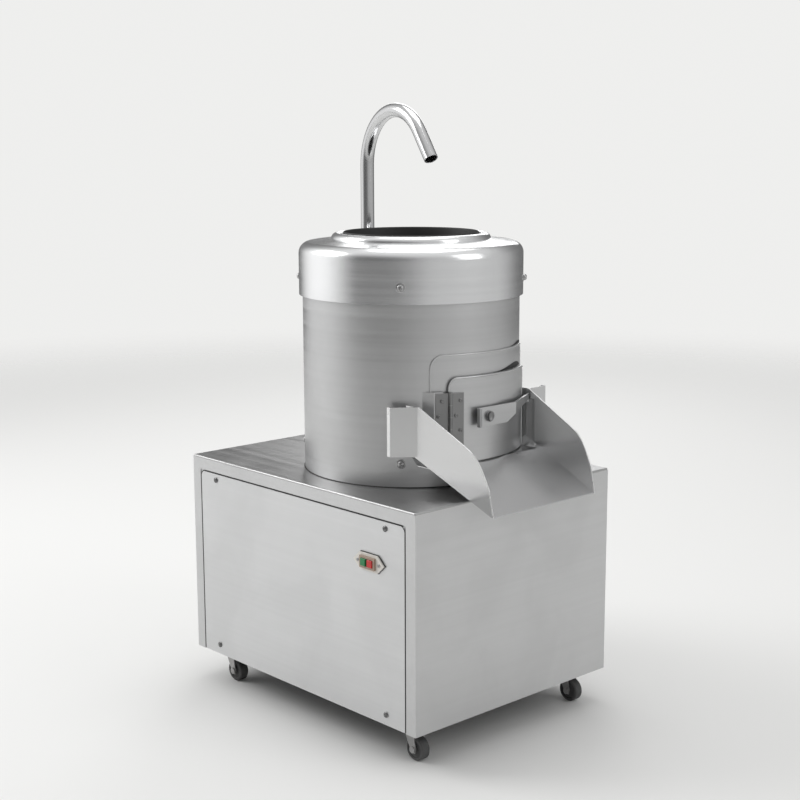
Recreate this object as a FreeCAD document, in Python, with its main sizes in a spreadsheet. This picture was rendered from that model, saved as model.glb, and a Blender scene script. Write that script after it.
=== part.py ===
import FreeCAD, Part
import os
import re
import Sketcher

# Floor-standing electric potato peeler. Millimetres, +Z up, origin on the floor under the middle
# of the cabinet. The switch panel faces -Y and the discharge chute points along +X.

sizes = {
    # cabinet
    "floor_clearance": 61, "base_width": 600, "base_depth": 466, "base_height": 370,
    "sheet_gauge": 1.5, "top_gauge": 4, "top_rounding": 2.5, "panel_width": 550, "panel_top_border": 27,
    "panel_groove": 3, "flange_width": 14, "panel_screw_inset": 45, "panel_screw_edge": 11,
    # drum
    "drum_x": 35, "drum_y": 6, "barrel_radius": 190, "barrel_gauge": 2, "barrel_height": 388,
    "cap_radius": 196, "cap_gauge": 2, "cap_skirt_drop": 28, "cap_shoulder_height": 378,
    "shoulder_radius": 20, "rim_outer_radius": 139, "rim_inner_radius": 119, "rim_base_height": 403,
    "cap_screw_height": 335, "barrel_screw_height": 41, "drum_screw_angle": 48,
    # discharge door, angles about the drum axis, heights above the top plate
    "door_left": 24.6, "door_right": 36, "door_bottom": 42, "door_top": 184, "door_gauge": 4,
    "door_standoff": 2.4, "door_corner": 16, "opening_inset": 2.2, "opening_lip": 9,
    "frame_left": 33.6, "frame_right": 40.5, "frame_top": 222, "frame_gauge": 1.2, "frame_corner": 22,
    "seal_thickness": 1, "seal_width": 7,
    # hinge
    "hinge_angle": 24.15, "hinge_radius": 200.5, "hinge_bottom": 60, "hinge_top": 160,
    "knuckle_radius": 3.3, "hinge_pin_radius": 2, "leaf_gauge": 2, "leaf_width": 28,
    "leaf_radius": 196.7, "fixed_leaf_angle": 28, "door_leaf_angle": 20, "block_gauge": 3,
    # latch, measured from the drum axis
    "latch_plane": 201.5, "latch_gauge": 3, "latch_bend_y": 52, "latch_bend_angle": 28,
    "latch_tip_y": 130, "latch_left_y": 38, "latch_bottom": 100, "latch_top": 132,
    "latch_pivot_y": 12, "latch_pivot_height": 116, "latch_pivot_radius": 4, "latch_tip_height": 9,
    "shelf_gap": 1,
    # chute, measured from the drum axis and the top plate
    "chute_fold_x": 160.4, "chute_tip_x": 322, "chute_fold_half": 134, "chute_tip_half": 124,
    "chute_gauge": 2, "chute_wall_top": 140, "chute_fold_bottom": 52, "chute_tip_bottom": -19,
    "chute_floor_rear": 193, "near_ear_length": 48, "near_ear_sweep": 40, "far_ear_length": 46,
    "far_ear_sweep": 2, "ear_bottom": 57, "ear_return": 9,
    # water pipe
    "pipe_angle": 159.5, "pipe_reach": 212, "pipe_radius": 12.5, "pipe_wall": 1.5,
    "pipe_rise": 524, "pipe_bend_radius": 99, "pipe_bend": 142, "pipe_outlet": 60, "pipe_heading": -10,
    # turntable and drive
    "disc_radius": 180, "disc_height": 36, "disc_thickness": 9, "grit_thickness": 3,
    "shaft_radius": 12.5, "running_gap": 0.05, "seat_gap": 0.3, "floor_plate": 2,
    "liner_gauge": 3, "liner_bottom": 54, "liner_drop": 15,
    "pulley_level": 145, "belt_width": 10, "belt_depth": 8, "driven_radius": 105, "motor_pulley_radius": 35,
    "motor_x": -190, "motor_y": 6, "motor_radius": 62, "motor_length": 150, "motor_shaft_radius": 9.5,
    "mount_height": 196, "mount_gauge": 6, "housing_radius": 34, "housing_length": 105, "bearing_radius": 26,
    # base frame and casters
    "frame_tube": 25, "frame_wall": 2, "caster_height": 66, "caster_x": 247, "caster_y": 190,
    "caster_trail": 13, "wheel_radius": 20, "wheel_width": 18, "axle_radius": 3, "kingpin_radius": 4,
    # switch
    "switch_x": 193, "switch_height": 330, "switch_width": 76, "switch_depth": 31, "button_size": 12,
    "button_pitch": 16, "button_gap": 0.5,
    # services
    "inlet_radius": 8, "drain_radius": 20, "drain_x": 120, "drain_y": 106, "gland_x": -200,
    "gland_height": 150,
}

doc = FreeCAD.newDocument("potato_peeler")
sheet = doc.addObject("Spreadsheet::Sheet", "Dims")
for row, (alias, size) in enumerate(sizes.items(), start=1):
    sheet.set(f"A{row}", alias)
    sheet.set(f"B{row}", str(size))
    sheet.setAlias(f"B{row}", alias)
doc.recompute()

nodes = {}
V = FreeCAD.Vector
UP = V(0, 0, 1)
TOP = "(floor_clearance + base_height)"


def bound(text):
    """A formula with each size read from the sheet."""
    return re.sub(r"[a-z_]+", lambda m: f"Dims.{m.group(0)}" if m.group(0) in sizes else m.group(0),
                  str(text))


def value(text):
    """A formula's number now."""
    return float(FreeCAD.Units.Quantity(str(sheet.evalExpression(bound(text)))).Value)


def place(thing, x=0, y=0, z=0, turn=None, axis=UP):
    """Bind the place, and a turn about one axis."""
    for letter, text in zip("xyz", (x, y, z)):
        thing.setExpression(f"Placement.Base.{letter}", bound(text))
    if turn is not None:
        thing.Placement.Rotation = FreeCAD.Rotation(axis, 1)
        thing.setExpression("Placement.Rotation.Angle", bound(turn))
    return thing


def box(length, width, height, x=0, y=0, z=0, turn=None, axis=UP):
    """A block from its low corner."""
    block = doc.addObject("Part::Box", "Block")
    for name, text in zip(("Length", "Width", "Height"), (length, width, height)):
        block.setExpression(name, bound(text))
    return place(block, x, y, z, turn, axis)


def rod(radius, height, x=0, y=0, z=0, turn=None, axis=UP, sector=None):
    """A cylinder from its low face; a sector of it where sector is given."""
    cylinder = doc.addObject("Part::Cylinder", "Rod")
    cylinder.setExpression("Radius", bound(radius))
    cylinder.setExpression("Height", bound(height))
    if sector is not None:
        cylinder.setExpression("Angle", bound(sector))
    return place(cylinder, x, y, z, turn, axis)


def cut(base, *tools):
    """The base without the tools."""
    for tool in tools:
        result = doc.addObject("Part::Cut", "Cut")
        result.Base = base
        result.Tool = tool
        base = result
    return base


def fuse(*things):
    result = doc.addObject("Part::MultiFuse", "Fuse")
    result.Shapes = list(things)
    return result


def common(first, second):
    result = doc.addObject("Part::Common", "Common")
    result.Base = first
    result.Tool = second
    return result


def group(*things):
    """Separate solids in one node."""
    result = doc.addObject("Part::Compound", "Group")
    result.Links = list(things)
    return result


def rounded(base, radius, chosen):
    """A fillet on the edges that chosen picks by their centre and direction."""
    doc.recompute()
    picked = []
    for number, edge in enumerate(base.Shape.Edges, start=1):
        if chosen(edge):
            picked.append((number, value(radius), value(radius)))
    fillet = doc.addObject("Part::Fillet", "Fillet")
    fillet.Base = base
    fillet.Edges = picked
    return fillet


def outline(body, plane, points):
    """A closed sketch on one of the body's planes. A point is (x, y), or (x, y, radius, side) where
    an arc of that radius runs to the next point and bulges to that side of the straight line."""
    sketch = body.newObject("Sketcher::SketchObject", body.Name + "Outline")
    support = [feature for feature in body.Origin.OriginFeatures if feature.Role == plane][0]
    sketch.AttachmentSupport = [(support, "")]
    sketch.MapMode = "FlatFace"
    places = [V(value(point[0]), value(point[1]), 0) for point in points]
    count = len(points)
    ends = []
    for index, point in enumerate(points):
        start = places[index]
        end = places[(index + 1) % count]
        if len(point) == 2:
            sketch.addGeometry(Part.LineSegment(start, end), False)
            ends.append((1, 2))
            continue
        radius = value(point[2])
        chord = end - start
        side = V(-chord.y, chord.x, 0).normalize() * point[3]
        rise = radius - (radius ** 2 - min(radius ** 2, chord.Length ** 2 / 4)) ** 0.5
        middle = (start + end) * 0.5 + side * rise
        clockwise = point[3] > 0
        ends.append((2, 1) if clockwise else (1, 2))
        sketch.addGeometry(Part.Arc(end, middle, start) if clockwise else Part.Arc(start, middle, end), False)
    for index, point in enumerate(points):
        after = (index + 1) % count
        sketch.addConstraint(Sketcher.Constraint("Coincident", index, ends[index][1], after, ends[after][0]))
        for kind, text in (("DistanceX", point[0]), ("DistanceY", point[1])):
            number = sketch.addConstraint(
                Sketcher.Constraint(kind, -1, 1, index, ends[index][0], value(text)))
            sketch.setExpression(f"Constraints[{number}]", bound(text))
        if len(point) > 2:
            number = sketch.addConstraint(Sketcher.Constraint("Radius", index, value(point[2])))
            sketch.setExpression(f"Constraints[{number}]", bound(point[2]))
    return sketch


def turned(points, x=0, y=0, z=0, turn=None, axis=UP):
    """A solid turned about its own Z axis from an outline of (radius, height) points."""
    body = doc.addObject("PartDesign::Body", "Turned")
    sketch = outline(body, "XZ_Plane", points)
    feature = body.newObject("PartDesign::Revolution", body.Name + "Turn")
    feature.Profile = sketch
    feature.ReferenceAxis = (sketch, ["V_Axis"])
    feature.Angle = 360
    return place(body, x, y, z, turn, axis)


def plate(points, depth, x=0, y=0, z=0, turn=None, axis=UP, plane="XY_Plane", middle=False):
    """An outline given a thickness: up from XY, towards -Y from XZ, towards +X from YZ."""
    body = doc.addObject("PartDesign::Body", "Plate")
    sketch = outline(body, plane, points)
    feature = body.newObject("PartDesign::Pad", body.Name + "Pad")
    feature.Profile = sketch
    feature.Midplane = middle
    feature.setExpression("Length", bound(depth))
    return place(body, x, y, z, turn, axis)


def around(x, y):
    """A place given from the drum's axis, as formulas in the part's frame."""
    return f"drum_x + ({x})", f"drum_y + ({y})"


def polar(radius, angle):
    """A place at a radius and angle about the drum's axis."""
    return f"drum_x + ({radius}) * cos({angle})", f"drum_y + ({radius}) * sin({angle})"


def shell(inner, outer, start, end, bottom, top):
    """A curved plate about the drum's axis, from angle start to end and height bottom to top."""
    height = f"({top}) - ({bottom})"
    low = f"{TOP} + ({bottom})"
    ring = rod(outer, height, "drum_x", "drum_y", low, start, UP, f"({end}) - ({start})")
    core = rod(inner, f"{height} + 20", "drum_x", "drum_y", f"{low} - 10")
    return cut(ring, core)


def soft_corner(thing, angle, side, top, radius):
    """Rounds the top corner of a curved plate at an angle; side is where the plate lies from there."""
    middle = f"({angle}) + {side} * ({radius}) / barrel_radius * 57.2958"
    x, y = polar("barrel_radius - 20", middle)
    z = f"{TOP} + ({top}) - ({radius})"
    reach = f"(({radius}) + 5)"
    corner = [(0, 0), (f"-{reach}", 0), (f"-{reach}", f"{-side} * {reach}"), (0, f"{-side} * {reach}")]
    square = face_outward(plate(corner, "60", x, y, z), middle)
    post = face_outward(rod(radius, "60", x, y, z), middle)
    return cut(thing, cut(square, post))


def screw(head, rise, shank, length):
    """A domed screw along +Z, its head's underside at height 0."""
    return [(0, f"-({length})"), (shank, f"-({length})"), (shank, 0), (head, 0),
            (head, f"({rise}) * 0.25"), (f"({head}) * 0.62", f"({rise}) * 0.85"), (0, rise)]


def face_outward(thing, angle):
    """Lay a thing's own Z axis along the drum's radius at an angle."""
    thing.setExpression("Placement.Rotation", f"create(<<rotation>>; create(<<vector>>; 0; 0; 1); "
                        f"{bound(angle)}) * create(<<rotation>>; create(<<vector>>; 0; 1; 0); 90)")
    return thing


def drum_screw(angle, radius, height, head, rise, shank, length):
    """A domed screw that points at the drum's axis, its head's underside at the radius."""
    x, y = polar(radius, angle)
    return face_outward(turned(screw(head, rise, shank, length), x, y, f"{TOP} + {height}"), angle)


def drum_hole(angle, radius, height, bore, length):
    """A drill that starts at the radius and reaches in by the length."""
    x, y = polar(f"{radius} - {length}", angle)
    return face_outward(rod(bore, length, x, y, f"{TOP} + {height}"), angle)


def front_hole(radius, length, x, y, z):
    """A cylinder along +X."""
    return rod(radius, length, x, y, z, 90, V(0, 1, 0))


def side_rod(radius, length, x, y, z):
    """A cylinder along +Y."""
    return rod(radius, length, x, y, z, -90, V(1, 0, 0))


def node(name, thing):
    """Names a finished piece."""
    thing.Label = name
    nodes[name] = thing
    return thing


# Cabinet
front = "-base_depth / 2"
wall_height = "base_height - top_gauge"
panel_top = "base_height - panel_top_border + floor_clearance"
opening_half = "(panel_width / 2 + panel_groove)"
hull = box("base_width", "base_depth", wall_height, "-base_width / 2", front, "floor_clearance")
hollow = box("base_width - 2 * sheet_gauge", "base_depth - 2 * sheet_gauge", "base_height + 20",
             "-base_width / 2 + sheet_gauge", f"{front} + sheet_gauge", "floor_clearance - 10")
doorway = box(f"2 * {opening_half}", "20", "base_height - panel_top_border + panel_groove + 10",
              f"-{opening_half}", f"{front} - 10", "floor_clearance - 10")
flange = box(f"2 * ({opening_half} + flange_width)", "sheet_gauge", "base_height - panel_top_border + 15",
             f"-{opening_half} - flange_width", f"{front} + sheet_gauge", "floor_clearance")
flange_window = box("panel_width - 2 * flange_width", "20", "base_height - panel_top_border - flange_width + 10",
                    "-panel_width / 2 + flange_width", f"{front} - 5", "floor_clearance - 10")
walls = fuse(cut(hull, hollow, doorway), cut(flange, flange_window))
panel_screw_places = []
for side in (-1, 1):
    for level in ("floor_clearance + panel_screw_edge + 8", f"{panel_top} - panel_screw_edge"):
        panel_screw_places.append((f"{side} * (panel_width / 2 - panel_screw_inset)", level))
pipe_x, pipe_y = polar("pipe_reach", "pipe_angle")
inlet_level = f"{TOP} - 70"
drain_level = f"{TOP} - 110"
rear_holes = [side_rod("inlet_radius + 1", "40", pipe_x, "base_depth / 2 - 20", inlet_level),
              side_rod("drain_radius + 1", "40", "drain_x", "base_depth / 2 - 20", drain_level),
              side_rod("9", "40", "gland_x", "base_depth / 2 - 20", "gland_height")]
node("cabinet_shell", cut(walls, *rear_holes))

panel = box("panel_width", "sheet_gauge", f"{panel_top} - floor_clearance - 1", "-panel_width / 2", front,
            "floor_clearance + 1")
switch_hole = box("button_pitch + button_size + 4", "20", "button_size + 6",
                  "switch_x - (button_pitch + button_size + 4) / 2", f"{front} - 10",
                  "switch_height - (button_size + 6) / 2")
holes = [side_rod("1.95", "0.6", x, f"{front} - 0.1", z) for x, z in panel_screw_places]
node("front_panel", cut(panel, switch_hole, *holes))
node("panel_screws", group(*[turned(screw("5", "3", "1.9", "0.4"), x, front, z, 90, V(1, 0, 0))
                             for x, z in panel_screw_places]))

top_blank = box("base_width", "base_depth", "top_gauge", "-base_width / 2", front, f"{TOP} - top_gauge")
top_round = rounded(top_blank, "top_rounding",
                    lambda edge: edge.CenterOfMass.z > value(TOP) - 0.01 or abs(edge.tangentAt(0).z) > 0.9)
node("top_plate", cut(top_round,
                      rod("housing_radius + 4", "30", "drum_x", "drum_y", f"{TOP} - 15"),
                      rod("inlet_radius + 1", "30", pipe_x, pipe_y, f"{TOP} - 15"),
                      rod("drain_radius", "30", "drain_x", "drain_y", f"{TOP} - 15")))

inner_width = "(base_width - 2 * sheet_gauge)"
inner_depth = "(base_depth - 4 * sheet_gauge)"
frame_low = "caster_height"
ring = box(inner_width, inner_depth, "frame_tube", f"-{inner_width} / 2", f"-{inner_depth} / 2", frame_low)
ring_hole = box(f"{inner_width} - 2 * frame_tube", f"{inner_depth} - 2 * frame_tube", "60",
                f"-{inner_width} / 2 + frame_tube", f"-{inner_depth} / 2 + frame_tube", f"{frame_low} - 20")
rails = [box("frame_tube", f"{inner_depth} - 20", "frame_tube", x, f"-{inner_depth} / 2 + 10", frame_low)
         for x in ("motor_x - 85 - frame_tube / 2", "motor_x + 85 - frame_tube / 2")]
tube_hollows = []
for side in (-1, 1):
    tube_hollows.append(box(f"{inner_width} - 2 * frame_wall", "frame_tube - 2 * frame_wall",
                            "frame_tube - 2 * frame_wall", f"-{inner_width} / 2 + frame_wall",
                            f"{side} * ({inner_depth} / 2 - frame_tube / 2) - frame_tube / 2 + frame_wall",
                            f"{frame_low} + frame_wall"))
    tube_hollows.append(box("frame_tube - 2 * frame_wall", f"{inner_depth} - 2 * frame_wall",
                            "frame_tube - 2 * frame_wall",
                            f"{side} * ({inner_width} / 2 - frame_tube / 2) - frame_tube / 2 + frame_wall",
                            f"-{inner_depth} / 2 + frame_wall", f"{frame_low} + frame_wall"))
frame_ring = cut(ring, ring_hole, *tube_hollows)
node("base_frame", fuse(frame_ring, *rails))

# Drum
inner_barrel = "(barrel_radius - barrel_gauge)"
barrel = shell(inner_barrel, "barrel_radius", "0", "360", "0", "barrel_height")
window = shell(f"{inner_barrel} - 10", "barrel_radius + 10", "-door_left + opening_inset + 2",
               "door_right - opening_inset", "door_bottom + opening_lip", "door_top - opening_lip")
drum_angles = [f"drum_screw_angle * -1 + {90 * step}" for step in range(4)]
barrel_holes = []
for angle in drum_angles:
    barrel_holes.append(drum_hole(angle, "barrel_radius + 5", "barrel_screw_height", "2.6", "12"))
    barrel_holes.append(drum_hole(angle, "cap_radius + 5", "cap_screw_height", "2.6", "20"))
node("barrel", cut(barrel, window, *barrel_holes))
node("barrel_screws", group(*[drum_screw(angle, "barrel_radius", "barrel_screw_height", "7", "6", "2.5", "6")
                              for angle in drum_angles]))

shoulder_top = "cap_shoulder_height + shoulder_radius"
shoulder_x = "cap_radius - shoulder_radius"
cap_profile = [
    ("cap_radius", "cap_screw_height - cap_skirt_drop"),
    ("cap_radius", "cap_shoulder_height", "shoulder_radius", -1),
    (shoulder_x, shoulder_top),
    ("rim_outer_radius", "rim_base_height", "(rim_outer_radius - rim_inner_radius) / 2 + 0.01", -1),
    ("rim_inner_radius", "rim_base_height"),
    ("rim_inner_radius", "rim_base_height - 5"),
    ("rim_outer_radius", "rim_base_height - 5"),
    (shoulder_x, f"{shoulder_top} - cap_gauge", "shoulder_radius - cap_gauge", 1),
    ("cap_radius - cap_gauge", "cap_shoulder_height"),
    ("cap_radius - cap_gauge", "cap_screw_height - cap_skirt_drop"),
]
cap = turned(cap_profile, "drum_x", "drum_y", TOP)
cap_holes = [drum_hole(angle, "cap_radius + 5", "cap_screw_height", "2.6", "16") for angle in drum_angles]
node("cap_ring", cut(cap, *cap_holes))
node("cap_screws", group(*[drum_screw(angle, "cap_radius", "cap_screw_height", "7.4", "7.5", "2.5", "12")
                           for angle in drum_angles]))

pan = [("housing_radius - 4", 0), (f"{inner_barrel} - 0.1", 0), (f"{inner_barrel} - 0.1", "floor_plate"),
       ("housing_radius", "floor_plate"), ("housing_radius", "floor_plate + 14"),
       ("housing_radius - 4", "floor_plate + 14")]
pan_drain = rod("drain_radius", "30", "drain_x", "drain_y", f"{TOP} - 15")
node("drum_floor", cut(turned(pan, "drum_x", "drum_y", TOP), pan_drain))

liner = shell(f"{inner_barrel} - seat_gap - liner_gauge", f"{inner_barrel} - seat_gap", "0", "360",
              "liner_bottom", "cap_screw_height - liner_drop")
liner_window = shell(f"{inner_barrel} - 20", "barrel_radius", "-door_left + opening_inset",
                     "door_right - opening_inset + 2", "liner_bottom - 5", "door_top - opening_lip + 2")
node("abrasive_liner", cut(liner, liner_window))

frame_sheet = shell("barrel_radius", "barrel_radius + frame_gauge", "-frame_left", "frame_right",
                    "door_bottom - 6", "frame_top")
frame_round = soft_corner(frame_sheet, "-frame_left", 1, "frame_top", "frame_corner")
frame_round = soft_corner(frame_round, "frame_right", -1, "frame_top", "frame_corner")
frame_window = shell(f"{inner_barrel} - 10", "barrel_radius + 10", "-door_left + opening_inset + 2",
                     "door_right - opening_inset", "door_bottom + opening_lip", "door_top - opening_lip")
frame_notch = drum_hole(drum_angles[1], "barrel_radius + 8", "barrel_screw_height", "7.6", "16")
node("door_frame", cut(frame_round, frame_window, frame_notch))

# Discharge door and hinge
door_inner = "(barrel_radius + door_standoff)"
door_outer = "(barrel_radius + door_standoff + door_gauge)"
door_sheet = shell(door_inner, door_outer, "-door_left", "door_right", "door_bottom", "door_top")
door_round = soft_corner(door_sheet, "-door_left", 1, "door_top", "door_corner")
door_round = soft_corner(door_round, "door_right", -1, "door_top", "door_corner")
pivot_hole = front_hole("latch_pivot_radius", "40", "drum_x + latch_plane - 30", "drum_y - latch_pivot_y",
                        f"{TOP} + latch_pivot_height")
leaf_levels = [f"hinge_bottom + 12 + {step} * (hinge_top - hinge_bottom - 20) / 3.2" for step in range(4)]
leaf_places = {"fixed": [], "door": []}
for step, level in enumerate(leaf_levels):
    leaf_places["door"].append((f"-door_leaf_angle + {(-1.2, 1.2)[step % 2]}", level))
    leaf_places["fixed"].append((f"-fixed_leaf_angle + {(-2.1, -0.2)[step % 2]}", level))
door_screw_holes = [drum_hole(angle, "leaf_radius + 8", level, "1.85", "13")
                    for angle, level in leaf_places["door"]]
node("discharge_door", cut(door_round, pivot_hole, *door_screw_holes))

seal_outer = shell(f"{door_inner} - seal_thickness - 0.2", f"{door_inner} - 0.2", "-door_left + 3.4",
                   "door_right - 0.8", "door_bottom + 3", "door_top - 3")
seal_round = soft_corner(seal_outer, "-door_left + 3.4", 1, "door_top - 3", "door_corner - 3")
seal_round = soft_corner(seal_round, "door_right - 0.8", -1, "door_top - 3", "door_corner - 3")
seal_hole = shell(f"{door_inner} - 10", "barrel_radius + 10", "-door_left + 3.4 + seal_width / 3.4",
                  "door_right - 0.8 - seal_width / 3.4", "door_bottom + 3 + seal_width",
                  "door_top - 3 - seal_width")
node("door_seal", cut(seal_round, seal_hole, *[
    drum_hole(angle, "leaf_radius + 8", level, "1.9", "25") for angle, level in leaf_places["door"]]))

hinge_x, hinge_y = polar("hinge_radius", "-hinge_angle")
foot = "barrel_radius * sin(9.5)"
foot_rise = "barrel_radius * cos(9.5) + 0.1"
block_profile = [
    (foot, foot_rise),
    ("14", "leaf_radius"),
    ("-1.5", "leaf_radius"),
    ("-1.5", "leaf_radius - block_gauge"),
    ("12.5", "leaf_radius - block_gauge"),
    (f"{foot} - 4.4", f"{foot_rise} + 0.85"),
]
hinge_span = "hinge_top - hinge_bottom"
block_turn = "-fixed_leaf_angle - 90"
block = plate(block_profile, f"{hinge_span} + 4", "drum_x", "drum_y", f"{TOP} + hinge_bottom - 2", block_turn)
fixed_holes = [drum_hole(angle, "leaf_radius + 8", level, "1.85", "22")
               for angle, level in leaf_places["fixed"]]
node("hinge_block", cut(block, *fixed_holes))


def hinge_leaf(name, angle, side, bands, gaps, drills):
    """A leaf tangent to the drum, knuckles on its own bands and slots where the other's turn."""
    shift = f"(hinge_radius * sin(hinge_angle - ({angle})))"
    start, end = (f"{shift} - leaf_width + 3", shift) if side < 0 else (shift, f"{shift} + leaf_width - 3")
    sheet_body = plate([(start, "leaf_radius"), (end, "leaf_radius"), (end, "leaf_radius + leaf_gauge"),
                        (start, "leaf_radius + leaf_gauge")], hinge_span, "drum_x", "drum_y",
                       f"{TOP} + hinge_bottom", f"-({angle}) - 90")
    step = f"(({hinge_span}) / 5)"
    slots = [rod("knuckle_radius + 0.4", f"{step}", hinge_x, hinge_y, f"{TOP} + hinge_bottom + {band} * {step}")
             for band in gaps]
    knuckles = [rod("knuckle_radius", f"{step} - 0.4", hinge_x, hinge_y,
                    f"{TOP} + hinge_bottom + {band} * {step} + 0.2") for band in bands]
    bore = rod("hinge_pin_radius + running_gap", "400", hinge_x, hinge_y, f"{TOP} - 100")
    node(name, cut(fuse(cut(sheet_body, *slots), *knuckles), bore, *drills))


hinge_leaf("hinge_leaf_fixed", "fixed_leaf_angle", 1, (0, 2, 4), (1, 3),
            [drum_hole(angle, "leaf_radius + 8", level, "1.85", "22") for angle, level in leaf_places["fixed"]])
hinge_leaf("hinge_leaf_door", "door_leaf_angle", -1, (1, 3), (0, 2, 4),
            [drum_hole(angle, "leaf_radius + 8", level, "1.85", "22") for angle, level in leaf_places["door"]])
node("hinge_pin", turned([(0, 0), ("hinge_pin_radius", 0), ("hinge_pin_radius", f"{hinge_span} + 0.2"),
                          ("knuckle_radius + 0.2", f"{hinge_span} + 0.2"),
                          ("knuckle_radius", f"{hinge_span} + 2"), (0, f"{hinge_span} + 2.4")],
                         hinge_x, hinge_y, f"{TOP} + hinge_bottom"))
for kind, name, lift in (("fixed", "hinge_screws_fixed", 0.3), ("door", "hinge_screws_door", 0.1)):
    node(name, group(*[drum_screw(angle, f"leaf_radius + leaf_gauge + {lift}", level, "3.4", "1.6", "1.75", "5")
                       for angle, level in leaf_places[kind]]))

# Latch
bend_tan = "tan(latch_bend_angle)"
tip_x = f"(latch_plane - (latch_tip_y - latch_bend_y) * {bend_tan})"
thick = "(latch_gauge / cos(latch_bend_angle))"
latch_plan = [
    ("latch_plane", "-latch_left_y"),
    ("latch_plane", "latch_bend_y"),
    (tip_x, "latch_tip_y"),
    (f"{tip_x} + {thick}", "latch_tip_y"),
    ("latch_plane + latch_gauge + 0.1", "latch_bend_y + 0.9"),
    ("latch_plane + latch_gauge", "-latch_left_y + 3"),
    ("latch_plane + latch_gauge + 5", "-latch_left_y + 3"),
    ("latch_plane + latch_gauge + 6", "-latch_left_y + 1"),
    ("latch_plane + latch_gauge + 4", "-latch_left_y - 1"),
]
latch_blank = plate(latch_plan, "latch_top - latch_bottom", "drum_x", "drum_y", f"{TOP} + latch_bottom")
latch_side = plate([
    ("-latch_left_y - 5", 0), ("31", 0), ("55", "14"),
    ("latch_tip_y + 1", "latch_top - latch_bottom - latch_tip_height"),
    ("latch_tip_y + 1", "latch_top - latch_bottom"), ("-latch_left_y - 5", "latch_top - latch_bottom")],
    "200", "drum_x + 80", "drum_y", f"{TOP} + latch_bottom", plane="YZ_Plane")
latch_bore = front_hole("latch_pivot_radius + running_gap", "30", "drum_x + latch_plane - 10",
                        "drum_y - latch_pivot_y", f"{TOP} + latch_pivot_height")
node("latch_bar", cut(common(latch_blank, latch_side), latch_bore))
seat_inner = f"sqrt({door_outer} ^ 2 - (latch_pivot_y - 7) ^ 2)"
bolt_profile = [(0, "-12"), ("latch_pivot_radius - 0.1", "-12"),
                ("latch_pivot_radius - 0.1", f"({seat_inner}) - latch_plane + 0.1"),
                ("7", f"({seat_inner}) - latch_plane + 0.1"), ("7", "-0.2"), ("latch_pivot_radius", "-0.2"),
                ("latch_pivot_radius", "latch_gauge + 0.2"), ("9", "latch_gauge + 0.2"), ("9", "latch_gauge + 2.2"),
                ("7", "latch_gauge + 3.4"), (0, "latch_gauge + 3.8")]
node("latch_bolt", turned(bolt_profile, "drum_x + latch_plane", "drum_y - latch_pivot_y",
                          f"{TOP} + latch_pivot_height", 90, V(0, 1, 0)))
shelf_level = "latch_top - latch_tip_height - shelf_gap"
keeper_pad = shell("barrel_radius + frame_gauge", "barrel_radius + frame_gauge + 2", "door_right + 1.4",
                   "frame_right", f"{shelf_level} - 30", "latch_top + 10")
keeper_shelf = shell("barrel_radius + frame_gauge + 1", "barrel_radius + 19", "door_right + 1.4",
                     "door_right + 2.9", f"{shelf_level} - 4", shelf_level)
node("latch_keeper", fuse(keeper_pad, keeper_shelf))

# Discharge chute
slope = "((chute_fold_bottom - chute_tip_bottom) / (chute_tip_x - chute_fold_x))"
floor_rear_level = f"(chute_fold_bottom - (chute_floor_rear - chute_fold_x) * {slope})"
web_x = "100"
web_bottom = f"(chute_fold_bottom + (chute_fold_x - {web_x}) * {slope})"
wall_side = [
    (web_x, web_bottom), ("chute_tip_x", "chute_tip_bottom"),
    ("chute_tip_x - 9", "chute_wall_top - 115"), ("chute_tip_x - 17", "chute_wall_top - 98"),
    ("chute_tip_x - 25", "chute_wall_top - 83"), ("chute_tip_x - 33", "chute_wall_top - 71"),
    ("chute_tip_x - 44", "chute_wall_top - 60"), ("chute_tip_x - 62", "chute_wall_top - 50"),
    ("chute_fold_x", "chute_wall_top"), (web_x, "chute_wall_top"),
]
taper = "((chute_fold_half - chute_tip_half) / (chute_tip_x - chute_fold_x))"


def chute_plan(inset, start, end):
    """The chute seen from above, each wall drawn in by inset."""
    near = f"(chute_fold_half + (chute_fold_x - ({start})) * {taper} - {inset})"
    far = f"(chute_fold_half + (chute_fold_x - ({end})) * {taper} - {inset})"
    return [(start, f"-{near}"), (end, f"-{far}"), (end, far), (start, near)]


block_side = plate(wall_side, "400", "drum_x", "drum_y", TOP, plane="XZ_Plane", middle=True)
block_plan = plate(chute_plan("0", web_x, "chute_tip_x"), "400", "drum_x", "drum_y", f"{TOP} - 100")
channel_side = plate([
    ("chute_floor_rear", f"{floor_rear_level} + chute_gauge"),
    ("chute_tip_x + 20", f"chute_tip_bottom - 20 * {slope} + chute_gauge"),
    ("chute_tip_x + 20", "300"), (f"{web_x} - 20", "300"), (f"{web_x} - 20", f"{web_bottom} - 90"),
    ("chute_floor_rear", f"{web_bottom} - 90")], "400", "drum_x", "drum_y", TOP, plane="XZ_Plane", middle=True)
channel_plan = plate(chute_plan("chute_gauge", f"{web_x} - 20", "chute_tip_x + 20"), "600",
                     "drum_x", "drum_y", f"{TOP} - 200")
trough = cut(common(block_side, block_plan), common(channel_side, channel_plan))
trough = cut(trough, rod("barrel_radius", "500", "drum_x", "drum_y", f"{TOP} - 100"))
rear_shelf = cut(box("chute_floor_rear - 120", "2 * chute_fold_half - 22", "chute_gauge", "drum_x + 120",
                     "drum_y - chute_fold_half + 11", f"{TOP} + {floor_rear_level}"),
                 rod("barrel_radius + frame_gauge + seat_gap", "500", "drum_x", "drum_y", f"{TOP} - 100"))
ears = []
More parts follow.
